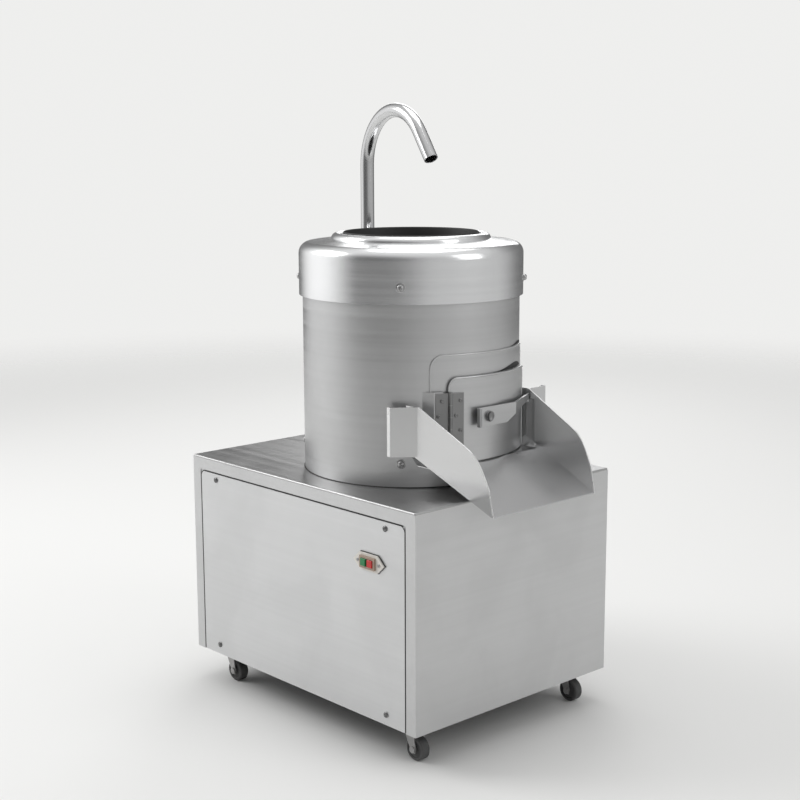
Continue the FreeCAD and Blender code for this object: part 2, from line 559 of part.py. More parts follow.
for side, which in ((-1, "near"), (1, "far")):
    ear_x, ear_y = around("chute_fold_x", f"{side} * (chute_fold_half - chute_gauge)")
    ear_turn = f"{side} * (90 + {which}_ear_sweep)"
    lift = "0" if side > 0 else "-chute_gauge"
    end = f"{which}_ear_length"
    ears.append(plate([(0, lift), (end, lift), (end, f"{lift} + chute_gauge"), (0, f"{lift} + chute_gauge")],
                      "chute_wall_top - ear_bottom", ear_x, ear_y, f"{TOP} + ear_bottom", ear_turn))
    back = "0" if side > 0 else "-ear_return"
    ears.append(plate([(f"{end} - chute_gauge", back), (end, back), (end, f"{back} + ear_return"),
                       (f"{end} - chute_gauge", f"{back} + ear_return")],
                      "chute_wall_top - ear_bottom", ear_x, ear_y, f"{TOP} + ear_bottom", ear_turn))
node("discharge_chute", fuse(trough, rear_shelf, *ears))

# Water pipe
pipe_body = doc.addObject("PartDesign::Body", "PipeBody")
path = pipe_body.newObject("Sketcher::SketchObject", "PipePath")
path.AttachmentSupport = [([f for f in pipe_body.Origin.OriginFeatures if f.Role == "XZ_Plane"][0], "")]
path.MapMode = "FlatFace"
bend_end = V(value("pipe_bend_radius * (1 - cos(pipe_bend))"),
             value("pipe_rise + pipe_bend_radius * sin(pipe_bend)"), 0)
bend_middle = V(value("pipe_bend_radius * (1 - cos(pipe_bend / 2))"),
                value("pipe_rise + pipe_bend_radius * sin(pipe_bend / 2)"), 0)
outlet_end = bend_end + V(value("pipe_outlet * sin(pipe_bend)"), value("pipe_outlet * cos(pipe_bend)"), 0)
bend_start = V(0, value("pipe_rise"), 0)
path.addGeometry(Part.LineSegment(V(0, 0, 0), bend_start), False)
path.addGeometry(Part.Arc(bend_end, bend_middle, bend_start), False)
path.addGeometry(Part.LineSegment(bend_end, outlet_end), False)
path.addConstraint(Sketcher.Constraint("Coincident", 0, 1, -1, 1))
path.addConstraint(Sketcher.Constraint("Coincident", 0, 2, 1, 2))
path.addConstraint(Sketcher.Constraint("Coincident", 1, 1, 2, 1))
for kind, geometry, vertex, text in (
        ("DistanceX", 0, 2, "0"), ("DistanceY", 0, 2, "pipe_rise"),
        ("DistanceX", 2, 1, "pipe_bend_radius * (1 - cos(pipe_bend))"),
        ("DistanceY", 2, 1, "pipe_rise + pipe_bend_radius * sin(pipe_bend)"),
        ("DistanceX", 2, 2, "pipe_bend_radius * (1 - cos(pipe_bend)) + pipe_outlet * sin(pipe_bend)"),
        ("DistanceY", 2, 2, "pipe_rise + pipe_bend_radius * sin(pipe_bend) + pipe_outlet * cos(pipe_bend)")):
    number = path.addConstraint(Sketcher.Constraint(kind, -1, 1, geometry, vertex, value(text)))
    path.setExpression(f"Constraints[{number}]", bound(text))
number = path.addConstraint(Sketcher.Constraint("Radius", 1, value("pipe_bend_radius")))
path.setExpression(f"Constraints[{number}]", bound("pipe_bend_radius"))
section = pipe_body.newObject("Sketcher::SketchObject", "PipeSection")
section.AttachmentSupport = [([f for f in pipe_body.Origin.OriginFeatures if f.Role == "XY_Plane"][0], "")]
section.MapMode = "FlatFace"
for number, radius in enumerate(("pipe_radius", "pipe_radius - pipe_wall")):
    section.addGeometry(Part.Circle(V(0, 0, 0), UP, value(radius)), False)
    section.addConstraint(Sketcher.Constraint("Coincident", number, 3, -1, 1))
    mark = section.addConstraint(Sketcher.Constraint("Radius", number, value(radius)))
    section.setExpression(f"Constraints[{mark}]", bound(radius))
doc.recompute()
sweep = pipe_body.newObject("PartDesign::AdditivePipe", "PipeSweep")
sweep.Profile = section
sweep.Spine = (path, ["Edge1", "Edge2", "Edge3"])
place(pipe_body, pipe_x, pipe_y, TOP, "pipe_heading")
node("water_pipe", pipe_body)
node("pipe_fitting", turned([
    ("pipe_radius", 0), ("pipe_radius + 8.5", 0), ("pipe_radius + 8.5", "4"), ("pipe_radius + 6", "6"),
    ("pipe_radius + 6", "20"), ("pipe_radius + 3", "23"), ("pipe_radius", "23")], pipe_x, pipe_y, TOP))


def elbow(radius, x, y, level, top, tail, collars):
    """A pipe that drops from the drum side, turns in a socket and leaves through the back wall."""
    socket = f"({radius} + 3)"
    solid = fuse(rod(radius, f"{top} - ({level})", x, y, level),
                 rod(socket, f"2 * {socket}", x, y, f"{level} - {socket}"),
                 side_rod(f"{radius} + 1", f"base_depth / 2 - ({y})", x, y, level),
                 side_rod(radius, tail, x, "base_depth / 2", level), *collars)
    return cut(solid, rod(f"{radius} - 2.2", f"{top} - ({level}) + {radius} + 40", x, y,
                          f"{level} - {radius} + 1"),
               side_rod(f"{radius} - 2", f"base_depth / 2 + {tail} + 20 - ({y})", x, y, level))


node("water_inlet", elbow("inlet_radius", pipe_x, pipe_y, inlet_level, TOP, "30", [
    side_rod("inlet_radius + 6", "3", pipe_x, "base_depth / 2", inlet_level)]))
node("drain_pipe", elbow("drain_radius", "drain_x", "drain_y", drain_level, f"({TOP} + floor_plate)", "40", [
    side_rod("drain_radius + 8", "3", "drain_x", "base_depth / 2", drain_level)]))
gland = turned([("4", "-14"), ("9", "-14"), ("9", 0), ("13", 0), ("13", "6"), ("10", "9"), ("7", "20"),
                ("4", "20")],
               "gland_x", "base_depth / 2", "gland_height", -90, V(1, 0, 0))
node("cable_gland", gland)

# Turntable, shaft and bearings
underside = f"{TOP} - top_gauge"
shaft_low = "pulley_level - 12"
disc_low = f"{TOP} + disc_height"
node("main_shaft", turned([
    (0, 0), ("shaft_radius", 0), ("shaft_radius", f"{disc_low} - ({shaft_low}) + disc_thickness + grit_thickness"),
    (0, f"{disc_low} - ({shaft_low}) + disc_thickness + grit_thickness")], "drum_x", "drum_y", shaft_low))
node("turntable", turned([
    ("shaft_radius", "-14"), ("shaft_radius + 12", "-14"), ("shaft_radius + 12", 0), ("disc_radius", 0),
    ("disc_radius", "disc_thickness"), ("shaft_radius", "disc_thickness")], "drum_x", "drum_y", disc_low))
node("abrasive_disc", turned([
    ("shaft_radius", 0), ("disc_radius", 0), ("disc_radius", "grit_thickness"), ("shaft_radius", "grit_thickness")],
    "drum_x", "drum_y", f"{disc_low} + disc_thickness"))
node("disc_nut", turned([(0, 0), ("24", 0), ("24", "3"), ("12", "12"), (0, "14")], "drum_x", "drum_y",
                        f"{disc_low} + disc_thickness + grit_thickness"))
housing_bore = "(bearing_radius - 2)"
node("bearing_housing", turned([
    (housing_bore, 0), ("housing_radius", 0), ("housing_radius", "housing_length - 8"),
    ("housing_radius + 28", "housing_length - 8"), ("housing_radius + 28", "housing_length"),
    ("bearing_radius", "housing_length"), ("bearing_radius", "housing_length - 16"),
    (housing_bore, "housing_length - 16")], "drum_x", "drum_y", f"{underside} - housing_length"))
race = [("shaft_radius + running_gap", 0), ("bearing_radius - 0.02", 0), ("bearing_radius - 0.02", "15"),
        ("shaft_radius + running_gap", "15")]
lower_race = [("shaft_radius + running_gap", 0), (f"{housing_bore} - 0.02", 0), (f"{housing_bore} - 0.02", "15"),
              ("shaft_radius + running_gap", "15")]
node("shaft_bearings", group(
    turned(race, "drum_x", "drum_y", f"{underside} - 15.5"),
    turned(lower_race, "drum_x", "drum_y", f"{underside} - housing_length + 2")))
node("shaft_seal", turned([
    ("shaft_radius + running_gap", 0), ("housing_radius - 4", 0), ("housing_radius - 4", "8"),
    ("shaft_radius + running_gap", "8")], "drum_x", "drum_y", f"{TOP} + floor_plate + 4"))


def grooved(outer, hub, bore):
    """A pulley whose groove leaves the belt a small gap on three sides."""
    half = "(belt_width / 2 + seat_gap)"
    bottom = f"({outer} - belt_depth - seat_gap)"
    rim = "(belt_width / 2 + 4)"
    return [(bore, f"-{rim}"), (outer, f"-{rim}"), (outer, f"-{half}"), (bottom, f"-{half}"), (bottom, half),
            (outer, half), (outer, rim), (hub, rim), (hub, f"{rim} + 8"), (bore, f"{rim} + 8")]


node("driven_pulley", turned(grooved("driven_radius", "26", "shaft_radius"), "drum_x", "drum_y", "pulley_level"))
node("motor_pulley", turned(grooved("motor_pulley_radius", "18", "motor_shaft_radius"), "motor_x", "motor_y",
                            "pulley_level"))
span = "(drum_x - motor_x)"
lean = f"asin((driven_radius - motor_pulley_radius) / {span})"


def belt_loop(inset, height, lift):
    """The space inside a belt that runs round both pulleys, drawn in by inset."""
    big = f"(driven_radius - {inset})"
    small = f"(motor_pulley_radius - {inset})"
    corners = [(f"-{big} * sin({lean})", f"{big} * cos({lean})"),
               (f"-{span} - {small} * sin({lean})", f"{small} * cos({lean})"),
               (f"-{span} - {small} * sin({lean})", f"-{small} * cos({lean})"),
               (f"-{big} * sin({lean})", f"-{big} * cos({lean})")]
    low = f"pulley_level + {lift}"
    return fuse(rod(big, height, "drum_x", "drum_y", low), rod(small, height, "motor_x", "motor_y", low),
                plate(corners, height, "drum_x", "drum_y", low))


node("drive_belt", cut(belt_loop("0", "belt_width", "-belt_width / 2"), belt_loop("belt_depth", "40", "-20")))

# Motor
mount_top = "mount_height"
node("motor_housing", turned([
    ("motor_shaft_radius + running_gap", 0), ("motor_radius", 0), ("motor_radius", "motor_length"),
    (0, "motor_length"), (0, "motor_length - 12"), ("motor_shaft_radius + running_gap", "motor_length - 12")],
    "motor_x", "motor_y", mount_top))
node("motor_fan_cover", turned([
    (0, 0), ("motor_radius + 2", 0), ("motor_radius + 2", "20"), ("motor_radius - 12", "28"), (0, "28")],
    "motor_x", "motor_y", f"{mount_top} + motor_length"))
node("motor_terminal_box", rounded(box("70", "26", "60", "motor_x - 35", "motor_y - motor_radius - 20",
                                       f"{mount_top} + 50"), "5", lambda edge: edge.CenterOfMass.y <
                                   value("motor_y - motor_radius - 19.9")))
terminal = nodes.pop("motor_terminal_box")
node("motor_terminal_box", cut(terminal, rod("motor_radius", "motor_length", "motor_x", "motor_y", mount_top)))
node("motor_shaft", turned([
    (0, 0), ("motor_shaft_radius", 0), ("motor_shaft_radius", f"{mount_top} - pulley_level + 110"),
    (0, f"{mount_top} - pulley_level + 110")], "motor_x", "motor_y", "pulley_level - 12"))
leg_half = "100"
mount_low = f"{frame_low} + frame_tube"
table = box("200", f"2 * {leg_half}", f"mount_height - ({mount_low})", "motor_x - 100", f"motor_y - {leg_half}",
            mount_low)
table_hollow = box("240", f"2 * ({leg_half} - mount_gauge)", f"mount_height - ({mount_low})", "motor_x - 120",
                   f"motor_y - {leg_half} + mount_gauge", f"{mount_low} - mount_gauge")
node("motor_mount", cut(table, table_hollow, rod("motor_shaft_radius + 8", "60", "motor_x", "motor_y",
                                                 "mount_height - 30")))

# Switch
panel_face = front
plate_half = "(switch_width / 2)"
flat_half = "(switch_width / 2 - switch_depth / 2 - 1)"


def hexagon(grow):
    """The switch plate's long six-sided outline, drawn in by the amount given."""
    tall = f"(switch_depth / 2 - {grow})"
    return [(f"-{plate_half} + {grow}", 0), (f"-{flat_half}", f"-{tall}"), (flat_half, f"-{tall}"),
            (f"{plate_half} - {grow}", 0), (flat_half, tall), (f"-{flat_half}", tall)]


def switch_window(low, high):
    """The buttons' window through the switch pieces."""
    return box("button_pitch + button_size + 2 * button_gap", f"({high}) - ({low})",
               "button_size + 2 * button_gap", "switch_x - (button_pitch + button_size) / 2 - button_gap",
               f"{panel_face} - ({high})", "switch_height - button_size / 2 - button_gap")


def switch_layer(points, depth, proud):
    """A flat layer of the switch whose back is proud of the panel by the amount given."""
    return plate(points, depth, "switch_x", f"{panel_face} - ({proud})", "switch_height", plane="XZ_Plane")


screw_half = "(switch_width / 2 - 12)"
switch_screw_holes = [side_rod("1.6", "12", f"switch_x + {side} * {screw_half}", f"{panel_face} - 10",
                               "switch_height") for side in (-1, 1)]
node("switch_gasket", cut(switch_layer(hexagon("0"), "1.5", "0"), switch_window("-5", "20"), *switch_screw_holes))
node("switch_plate", cut(switch_layer(hexagon("1"), "2.5", "1.5"), switch_window("-5", "20"), *switch_screw_holes))
bezel_half = "(button_pitch / 2 + button_size / 2 + 4)"
bezel_tall = "(button_size / 2 + 4)"
bezel = switch_layer([(f"-{bezel_half}", f"-{bezel_tall}"), (bezel_half, f"-{bezel_tall}"),
                      (bezel_half, bezel_tall), (f"-{bezel_half}", bezel_tall)], "4", "4")
node("switch_bezel", cut(bezel, switch_window("-5", "20")))
node("switch_screws", group(*[
    turned(screw("3", "1.6", "1.5", "3.6"), f"switch_x + {side} * {screw_half}", f"{panel_face} - 4",
           "switch_height", 90, V(1, 0, 0)) for side in (-1, 1)]))
body_depth = "28"
body_block = box("button_pitch + button_size + 3", body_depth, "button_size + 5",
                 "switch_x - (button_pitch + button_size + 3) / 2", f"{panel_face} + 0.1",
                 "switch_height - (button_size + 5) / 2")
node("switch_body", cut(body_block, switch_window("-16", "2")))
for name, side in (("start_button", -1), ("stop_button", 1)):
    cap_block = box("button_size", "20", "button_size", f"switch_x + {side} * button_pitch / 2 - button_size / 2",
                    f"{panel_face} - 10", "switch_height - button_size / 2")
    node(name, rounded(cap_block, "0.8", lambda edge: edge.CenterOfMass.y < value(f"{panel_face} - 9.99")))

# Casters
corners = [(-1, -1), (1, -1), (-1, 1), (1, 1)]
plates = []
for number, (side_x, side_y) in enumerate(corners, start=1):
    x = f"{side_x} * caster_x"
    y = f"{side_y} * caster_y"
    blank = box("56", "44", "3", f"{x} - 28", f"{y} - 22", "caster_height - 3")
    race_ring = rod("15", "6", x, y, "caster_height - 9")
    bore = rod("kingpin_radius + running_gap", "8", x, y, "caster_height - 10")
    plates.append(cut(fuse(blank, race_ring), bore))
    crown_level = "(caster_height - 9 - seat_gap)"
    crown = rod("16", "3.5", x, y, f"{crown_level} - 3.5")
    kingpin = rod("kingpin_radius", "6", x, y, f"{crown_level} - 1")
    legs = []
    for edge in (-1, 1):
        leg_points = [("-12", f"{crown_level} - 1"), ("12", f"{crown_level} - 1"),
                      ("caster_trail + 6", "wheel_radius + 2"), ("caster_trail + 5", "wheel_radius - 6"),
                      ("caster_trail - 5", "wheel_radius - 6"), ("caster_trail - 7", "wheel_radius + 2")]
        legs.append(plate(leg_points, "2", x, f"{y} + {edge} * (wheel_width / 2 + 2) + 1", 0, plane="XZ_Plane"))
    axle_y = f"{y} - wheel_width / 2 - 5"
    axle_x = f"{x} + caster_trail"
    axle = side_rod("axle_radius", "wheel_width + 10", axle_x, axle_y, "wheel_radius")
    axle_ends = [side_rod("axle_radius + 2.5", "2.5", axle_x, f"{axle_y} - 0.5", "wheel_radius"),
                 side_rod("axle_radius + 2.5", "2.5", axle_x, f"{y} + wheel_width / 2 + 3", "wheel_radius")]
    node(f"caster_fork_{number}", fuse(crown, kingpin, axle, *legs, *axle_ends))
    tread = [("axle_radius + running_gap", "-wheel_width / 2 - 0.6"), ("axle_radius + 4", "-wheel_width / 2 - 0.6"),
             ("axle_radius + 4", "-wheel_width / 2 + 2"), ("wheel_radius - 6", "-wheel_width / 2 + 2"),
             ("wheel_radius - 5", "-wheel_width / 2"), ("wheel_radius - 2", "-wheel_width / 2"),
             ("wheel_radius", "-wheel_width / 2 + 2"), ("wheel_radius", "wheel_width / 2 - 2"),
             ("wheel_radius - 2", "wheel_width / 2"), ("wheel_radius - 5", "wheel_width / 2"),
             ("wheel_radius - 6", "wheel_width / 2 - 2"), ("axle_radius + 4", "wheel_width / 2 - 2"),
             ("axle_radius + 4", "wheel_width / 2 + 0.6"), ("axle_radius + running_gap", "wheel_width / 2 + 0.6")]
    node(f"caster_wheel_{number}", turned(tread, axle_x, y, "wheel_radius", -90, V(1, 0, 0)))
node("caster_plates", group(*plates))

doc.recompute()
faults = []
for thing in doc.Objects:
    if "Invalid" in thing.State or "Error" in thing.State:
        faults.append(f"{thing.Name} {thing.Label} {thing.State}")
for name, thing in nodes.items():
    if thing.Shape.isNull() or not thing.Shape.isValid() or not thing.Shape.Solids:
        faults.append(f"{name} has no valid solid")
if faults:
    raise SystemExit("\n".join(faults))
os.makedirs("parts", exist_ok=True)
for name, thing in nodes.items():
    thing.Shape.exportStep(f"parts/{name}.step")
    print(name, len(thing.Shape.Solids), round(thing.Shape.Volume / 1000, 2), "cm3")
print(len(nodes), "nodes")
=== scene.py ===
import math

import bmesh
import bpy
import numpy as np
from mathutils import Matrix


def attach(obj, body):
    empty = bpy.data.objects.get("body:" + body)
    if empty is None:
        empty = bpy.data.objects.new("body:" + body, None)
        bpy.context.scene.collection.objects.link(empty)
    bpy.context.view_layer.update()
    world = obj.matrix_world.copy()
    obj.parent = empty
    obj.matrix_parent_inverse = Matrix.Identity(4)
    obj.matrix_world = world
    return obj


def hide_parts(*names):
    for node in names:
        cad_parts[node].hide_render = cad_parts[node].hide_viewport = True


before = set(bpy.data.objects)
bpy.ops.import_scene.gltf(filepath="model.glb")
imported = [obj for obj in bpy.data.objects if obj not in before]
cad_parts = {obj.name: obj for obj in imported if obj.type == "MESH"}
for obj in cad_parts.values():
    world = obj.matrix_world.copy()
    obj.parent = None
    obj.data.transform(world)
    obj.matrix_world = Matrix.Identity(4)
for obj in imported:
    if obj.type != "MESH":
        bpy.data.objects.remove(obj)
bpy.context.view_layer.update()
scene = bpy.context.scene
scene.view_settings.view_transform = "Standard"

# Camera, floor, room and lamps

cameraView = {
    "place": (1.9145, -1.7443, 1.0095),
    "turn": 47.487,      # degrees round from looking along +Y
    "tilt": 10.228,      # degrees downwards
    "roll": -0.2046,
    "lens": 66.05,
    "sensor": 36.0,
}


def unit(vectors):
    vectors = np.asarray(vectors, float)
    return vectors / np.linalg.norm(vectors, axis=-1, keepdims=True)


def stand(thing, right, up, back, place):
    # a camera or a lamp looks along its own -Z, so back is the way it doesn't look
    columns = np.eye(4)
    columns[:3, 0], columns[:3, 1], columns[:3, 2], columns[:3, 3] = right, up, back, place
    scene.collection.objects.link(thing)
    thing.matrix_world = Matrix(columns.tolist())


def makeCamera(view):
    turn, tilt, roll = (math.radians(view[key]) for key in ("turn", "tilt", "roll"))
    back = np.array([math.sin(turn) * math.cos(tilt), -math.cos(turn) * math.cos(tilt), math.sin(tilt)])
    right = np.array([math.cos(turn), math.sin(turn), 0.0])
    up = np.cross(back, right)
    data = bpy.data.cameras.new("photoCamera")
    data.lens = view["lens"]
    data.sensor_width = view["sensor"]
    camera = bpy.data.objects.new("photoCamera", data)
    stand(camera, math.cos(roll) * right + math.sin(roll) * up, math.cos(roll) * up - math.sin(roll) * right,
          back, view["place"])
    scene.camera = camera


makeCamera(cameraView)
print("camera set")


def addNode(tree, kind, inputs=None, **settings):
    # one node, with its plain settings and each input given as a number or as the socket that feeds it
    node = tree.nodes.new(kind)
    for key, setting in settings.items():
        setattr(node, key, setting)
    for socket, source in (inputs or {}).items():
        if isinstance(source, bpy.types.NodeSocket):
            tree.links.new(source, node.inputs[socket])
        else:
            node.inputs[socket].default_value = source
    return node


studio = {
    "backdrop": (0.86, 0.86, 0.85, 1.0),
    "roomLevel": 0.46,
    "floorColour": (0.80, 0.80, 0.79, 1.0),
    "floorRough": 0.9,
    "floorShine": 0.2,
    "floorRadius": 5.5,
    "floorFade": (2.6, 5.3),    # the distances over which the floor melts into the backdrop
    "floorSteps": 96,
}

# The room's lighter and darker sides: which way each lies, from what cosine on, and how much it adds

roomSides = {
    "leftWall": {"towards": (-0.85, -0.52, 0.05), "start": 0.62, "adds": 0.64},
    "rightWall": {"towards": (0.92, 0.39, 0.0), "start": 0.30, "adds": 0.10},
    "ceiling": {"towards": (0.0, 0.0, 1.0), "start": 0.30, "adds": 0.36},
    "darkCorner": {"towards": (0.10, -0.99, 0.0), "start": 0.45, "adds": -0.30},
    "behind": {"towards": (-0.62, 0.78, 0.0), "start": 0.25, "adds": -0.32},
}

lamps = {
    "keyLamp": {"place": (-2.4, -1.9, 2.4), "aim": (0, 0, 0.5), "size": (1.8, 1.6), "power": 46},
    "sideLamp": {"place": (3.0, 1.0, 2.0), "aim": (0, 0, 0.5), "size": (1.4, 2.0), "power": 14},
    "topLamp": {"place": (-0.3, 0.5, 3.4), "aim": (0, 0, 0.6), "size": (2.0, 2.0), "power": 24},
    "backLamp": {"place": (-2.2, 2.6, 2.2), "aim": (0, 0, 0.5), "size": (1.6, 1.8), "power": 20},
}


def makeWorld(values, sides):
    # the camera sees the plain backdrop, and all other rays see the room
    world = bpy.data.worlds.new("studioRoom")
    world.use_nodes = True
    scene.world = world
    tree = world.node_tree
    tree.nodes.clear()
    direction = addNode(tree, "ShaderNodeTexCoord").outputs["Generated"]
    level = values["roomLevel"]
    for side in sides.values():
        facing = addNode(tree, "ShaderNodeVectorMath", {0: direction, 1: side["towards"]},
                         operation="DOT_PRODUCT")
        soft = addNode(tree, "ShaderNodeMapRange", {"Value": facing.outputs["Value"],
                                                    "From Min": side["start"], "To Max": side["adds"]},
                       interpolation_type="SMOOTHSTEP")
        level = addNode(tree, "ShaderNodeMath", {0: level, 1: soft.outputs[0]}, operation="ADD").outputs[0]
    room = addNode(tree, "ShaderNodeBackground", {"Color": (1, 1, 1, 1), "Strength": level})
    seen = addNode(tree, "ShaderNodeBackground", {"Color": values["backdrop"], "Strength": 1.0})
    ray = addNode(tree, "ShaderNodeLightPath")
    mix = addNode(tree, "ShaderNodeMixShader", {0: ray.outputs["Is Camera Ray"], 1: room.outputs[0],
                                                2: seen.outputs[0]})
    addNode(tree, "ShaderNodeOutputWorld", {"Surface": mix.outputs[0]})


def makeFloor(values):
    # a wide disc that melts into the backdrop with distance
    turns = np.linspace(0, 2 * np.pi, values["floorSteps"], endpoint=False)
    reach = values["floorRadius"]
    rim = np.stack([reach * np.cos(turns), reach * np.sin(turns), np.zeros_like(turns)], axis=1)
    mesh = bpy.data.meshes.new("floor")
    mesh.from_pydata(rim.tolist(), [], [list(range(len(rim)))])
    floor = bpy.data.objects.new("floor", mesh)
    scene.collection.objects.link(floor)
    material = bpy.data.materials.new("floorPaper")
    material.use_nodes = True
    tree = material.node_tree
    tree.nodes.clear()
    place = addNode(tree, "ShaderNodeTexCoord").outputs["Object"]
    distance = addNode(tree, "ShaderNodeVectorMath", {0: place}, operation="LENGTH").outputs["Value"]
    near, far = values["floorFade"]
    fade = addNode(tree, "ShaderNodeMapRange", {"Value": distance, "From Min": near, "From Max": far},
                   interpolation_type="SMOOTHSTEP").outputs[0]
    paper = addNode(tree, "ShaderNodeBsdfPrincipled", {"Base Color": values["floorColour"],
                                                       "Roughness": values["floorRough"],
                                                       "Specular IOR Level": values["floorShine"]})
    clear = addNode(tree, "ShaderNodeBsdfTransparent")
    mix = addNode(tree, "ShaderNodeMixShader", {0: fade, 1: paper.outputs[0], 2: clear.outputs[0]})
    addNode(tree, "ShaderNodeOutputMaterial", {"Surface": mix.outputs[0]})
    mesh.materials.append(material)


def makeLamp(name, values):
    data = bpy.data.lights.new(name, "AREA")
    data.shape = "RECTANGLE"
    data.size, data.size_y = values["size"]
    data.energy = values["power"]
    back = unit(np.array(values["place"], float) - np.array(values["aim"], float))
    right = unit(np.cross((0, 0, 1), back))
    stand(bpy.data.objects.new(name, data), right, np.cross(back, right), back, values["place"])


makeWorld(studio, roomSides)
makeFloor(studio)
for lampName, lampValues in lamps.items():
    makeLamp(lampName, lampValues)
print("studio set")

# Shared effects, each one node group

drumCentre = (0.035, 0.006)
drumFoot = (*drumCentre, 0)
drumRadius = 0.19
vectorInput = ("Place", "NodeSocketVector", (0, 0, 0))


def newGroup(name, inputs, outputs):
    group = bpy.data.node_groups.new(name, "ShaderNodeTree")
    for label, kind, default in inputs:
        group.interface.new_socket(label, in_out="INPUT", socket_type=kind).default_value = default
    for label, kind in outputs:
        group.interface.new_socket(label, in_out="OUTPUT", socket_type=kind)
    return group, group.nodes.new("NodeGroupInput").outputs, group.nodes.new("NodeGroupOutput")


def makeDrumWrap():
    # unrolls the drum: the angle times its radius, then the distance from its axis, then the height
    group, given, result = newGroup("drumWrap", [vectorInput], [("Unrolled", "NodeSocketVector")])
    moved = addNode(group, "ShaderNodeVectorMath", {0: given["Place"], 1: drumFoot}, operation="SUBTRACT")
    part = addNode(group, "ShaderNodeSeparateXYZ", {0: moved.outputs[0]}).outputs
    # the join of the unrolled sheet faces away, towards -X
    angle = addNode(group, "ShaderNodeMath", {0: part["Y"], 1: part["X"]}, operation="ARCTAN2").outputs[0]
    across = addNode(group, "ShaderNodeMath", {0: angle, 1: drumRadius}, operation="MULTIPLY").outputs[0]
    flat = addNode(group, "ShaderNodeCombineXYZ", {0: part["X"], 1: part["Y"], 2: 0.0}).outputs[0]
    out = addNode(group, "ShaderNodeVectorMath", {0: flat}, operation="LENGTH").outputs["Value"]
    joined = addNode(group, "ShaderNodeCombineXYZ", {0: across, 1: out, 2: part["Z"]}).outputs[0]
    group.links.new(joined, result.inputs["Unrolled"])
    return group


def makeBrushedGrain():
    # fine scratches: noise squeezed across the brushing direction, in two sizes
    broadShare = (0.12, 0.12, 0.12)
    group, given, result = newGroup("brushedGrain",
                                    [vectorInput, ("Lines", "NodeSocketVector", (40, 40, 3000))],
                                    [("Scratch", "NodeSocketFloat"), ("Streak", "NodeSocketFloat")])
    fine = addNode(group, "ShaderNodeVectorMath", {0: given["Place"], 1: given["Lines"]},
                   operation="MULTIPLY")
    scratch = addNode(group, "ShaderNodeTexNoise", {"Vector": fine.outputs[0], "Scale": 1.0, "Detail": 2.0,
                                                    "Roughness": 0.6})
    broad = addNode(group, "ShaderNodeVectorMath", {0: fine.outputs[0], 1: broadShare}, operation="MULTIPLY")
    streak = addNode(group, "ShaderNodeTexNoise", {"Vector": broad.outputs[0], "Scale": 1.0, "Detail": 3.0})
    group.links.new(scratch.outputs[0], result.inputs["Scratch"])
    group.links.new(streak.outputs[0], result.inputs["Streak"])
    return group


def makeHandling():
    # soft patches left by wiping and handling, 0 to 1
    group, given, result = newGroup("handling", [vectorInput, ("Size", "NodeSocketFloat", 6.0)],
                                    [("Patch", "NodeSocketFloat")])
    patch = addNode(group, "ShaderNodeTexNoise", {"Vector": given["Place"], "Scale": given["Size"],
                                                  "Detail": 5.0, "Roughness": 0.55, "Distortion": 0.6})
    soft = addNode(group, "ShaderNodeMapRange", {"Value": patch.outputs[0], "From Min": 0.35,
                                                 "From Max": 0.68}, interpolation_type="SMOOTHSTEP")
    group.links.new(soft.outputs[0], result.inputs["Patch"])
    return group


def makeEdgeWear():
    # where a rounded copy of the surface's normal leaves the true one, the surface is near an edge
    group, given, result = newGroup("edgeWear", [("Width", "NodeSocketFloat", 0.0015), vectorInput],
                                    [("Edge", "NodeSocketFloat")])
    rounded = addNode(group, "ShaderNodeBevel", {"Radius": given["Width"]}, samples=4)
    normal = addNode(group, "ShaderNodeNewGeometry").outputs["Normal"]
    agree = addNode(group, "ShaderNodeVectorMath", {0: rounded.outputs[0], 1: normal},
                    operation="DOT_PRODUCT")
    edge = addNode(group, "ShaderNodeMapRange", {"Value": agree.outputs["Value"], "From Min": 0.995,
                                                 "From Max": 0.86})
    broken = addNode(group, "ShaderNodeTexNoise", {"Vector": given["Place"], "Scale": 90.0, "Detail": 3.0})
    uneven = addNode(group, "ShaderNodeMapRange", {"Value": broken.outputs[0], "From Min": 0.3,
                                                   "From Max": 0.6, "To Min": 0.35})
    worn = addNode(group, "ShaderNodeMath", {0: edge.outputs[0], 1: uneven.outputs[0]}, operation="MULTIPLY")
    group.links.new(worn.outputs[0], result.inputs["Edge"])
    return group


def makeSpeckle():
    # fine even texture of cast, moulded or gritty surfaces: a height and a sparse mask of bright grains
    group, given, result = newGroup("speckle", [vectorInput, ("Size", "NodeSocketFloat", 400.0)],
                                    [("Height", "NodeSocketFloat"), ("Grain", "NodeSocketFloat")])
    noise = addNode(group, "ShaderNodeTexNoise", {"Vector": given["Place"], "Scale": given["Size"],
                                                  "Detail": 4.0, "Roughness": 0.65})
    cells = addNode(group, "ShaderNodeTexVoronoi", {"Vector": given["Place"], "Scale": given["Size"]})
    grain = addNode(group, "ShaderNodeMapRange", {"Value": cells.outputs["Distance"], "From Min": 0.35,
                                                  "From Max": 0.1})
    group.links.new(noise.outputs[0], result.inputs["Height"])
    group.links.new(grain.outputs[0], result.inputs["Grain"])
    return group


effects = {"drumWrap": makeDrumWrap(), "brushedGrain": makeBrushedGrain(), "handling": makeHandling(),
           "edgeWear": makeEdgeWear(), "speckle": makeSpeckle()}


def useEffect(tree, name, inputs):
    return addNode(tree, "ShaderNodeGroup", inputs, node_tree=effects[name]).outputs


def blendColour(tree, amount, first, second):
    # the inputs go by number, because the node's inputs for colours, numbers and vectors share their names
    return addNode(tree, "ShaderNodeMix", {0: amount, 6: first, 7: second}, data_type="RGBA").outputs[2]


def times(tree, source, factor):
    return addNode(tree, "ShaderNodeMath", {0: source, 1: factor}, operation="MULTIPLY").outputs[0]


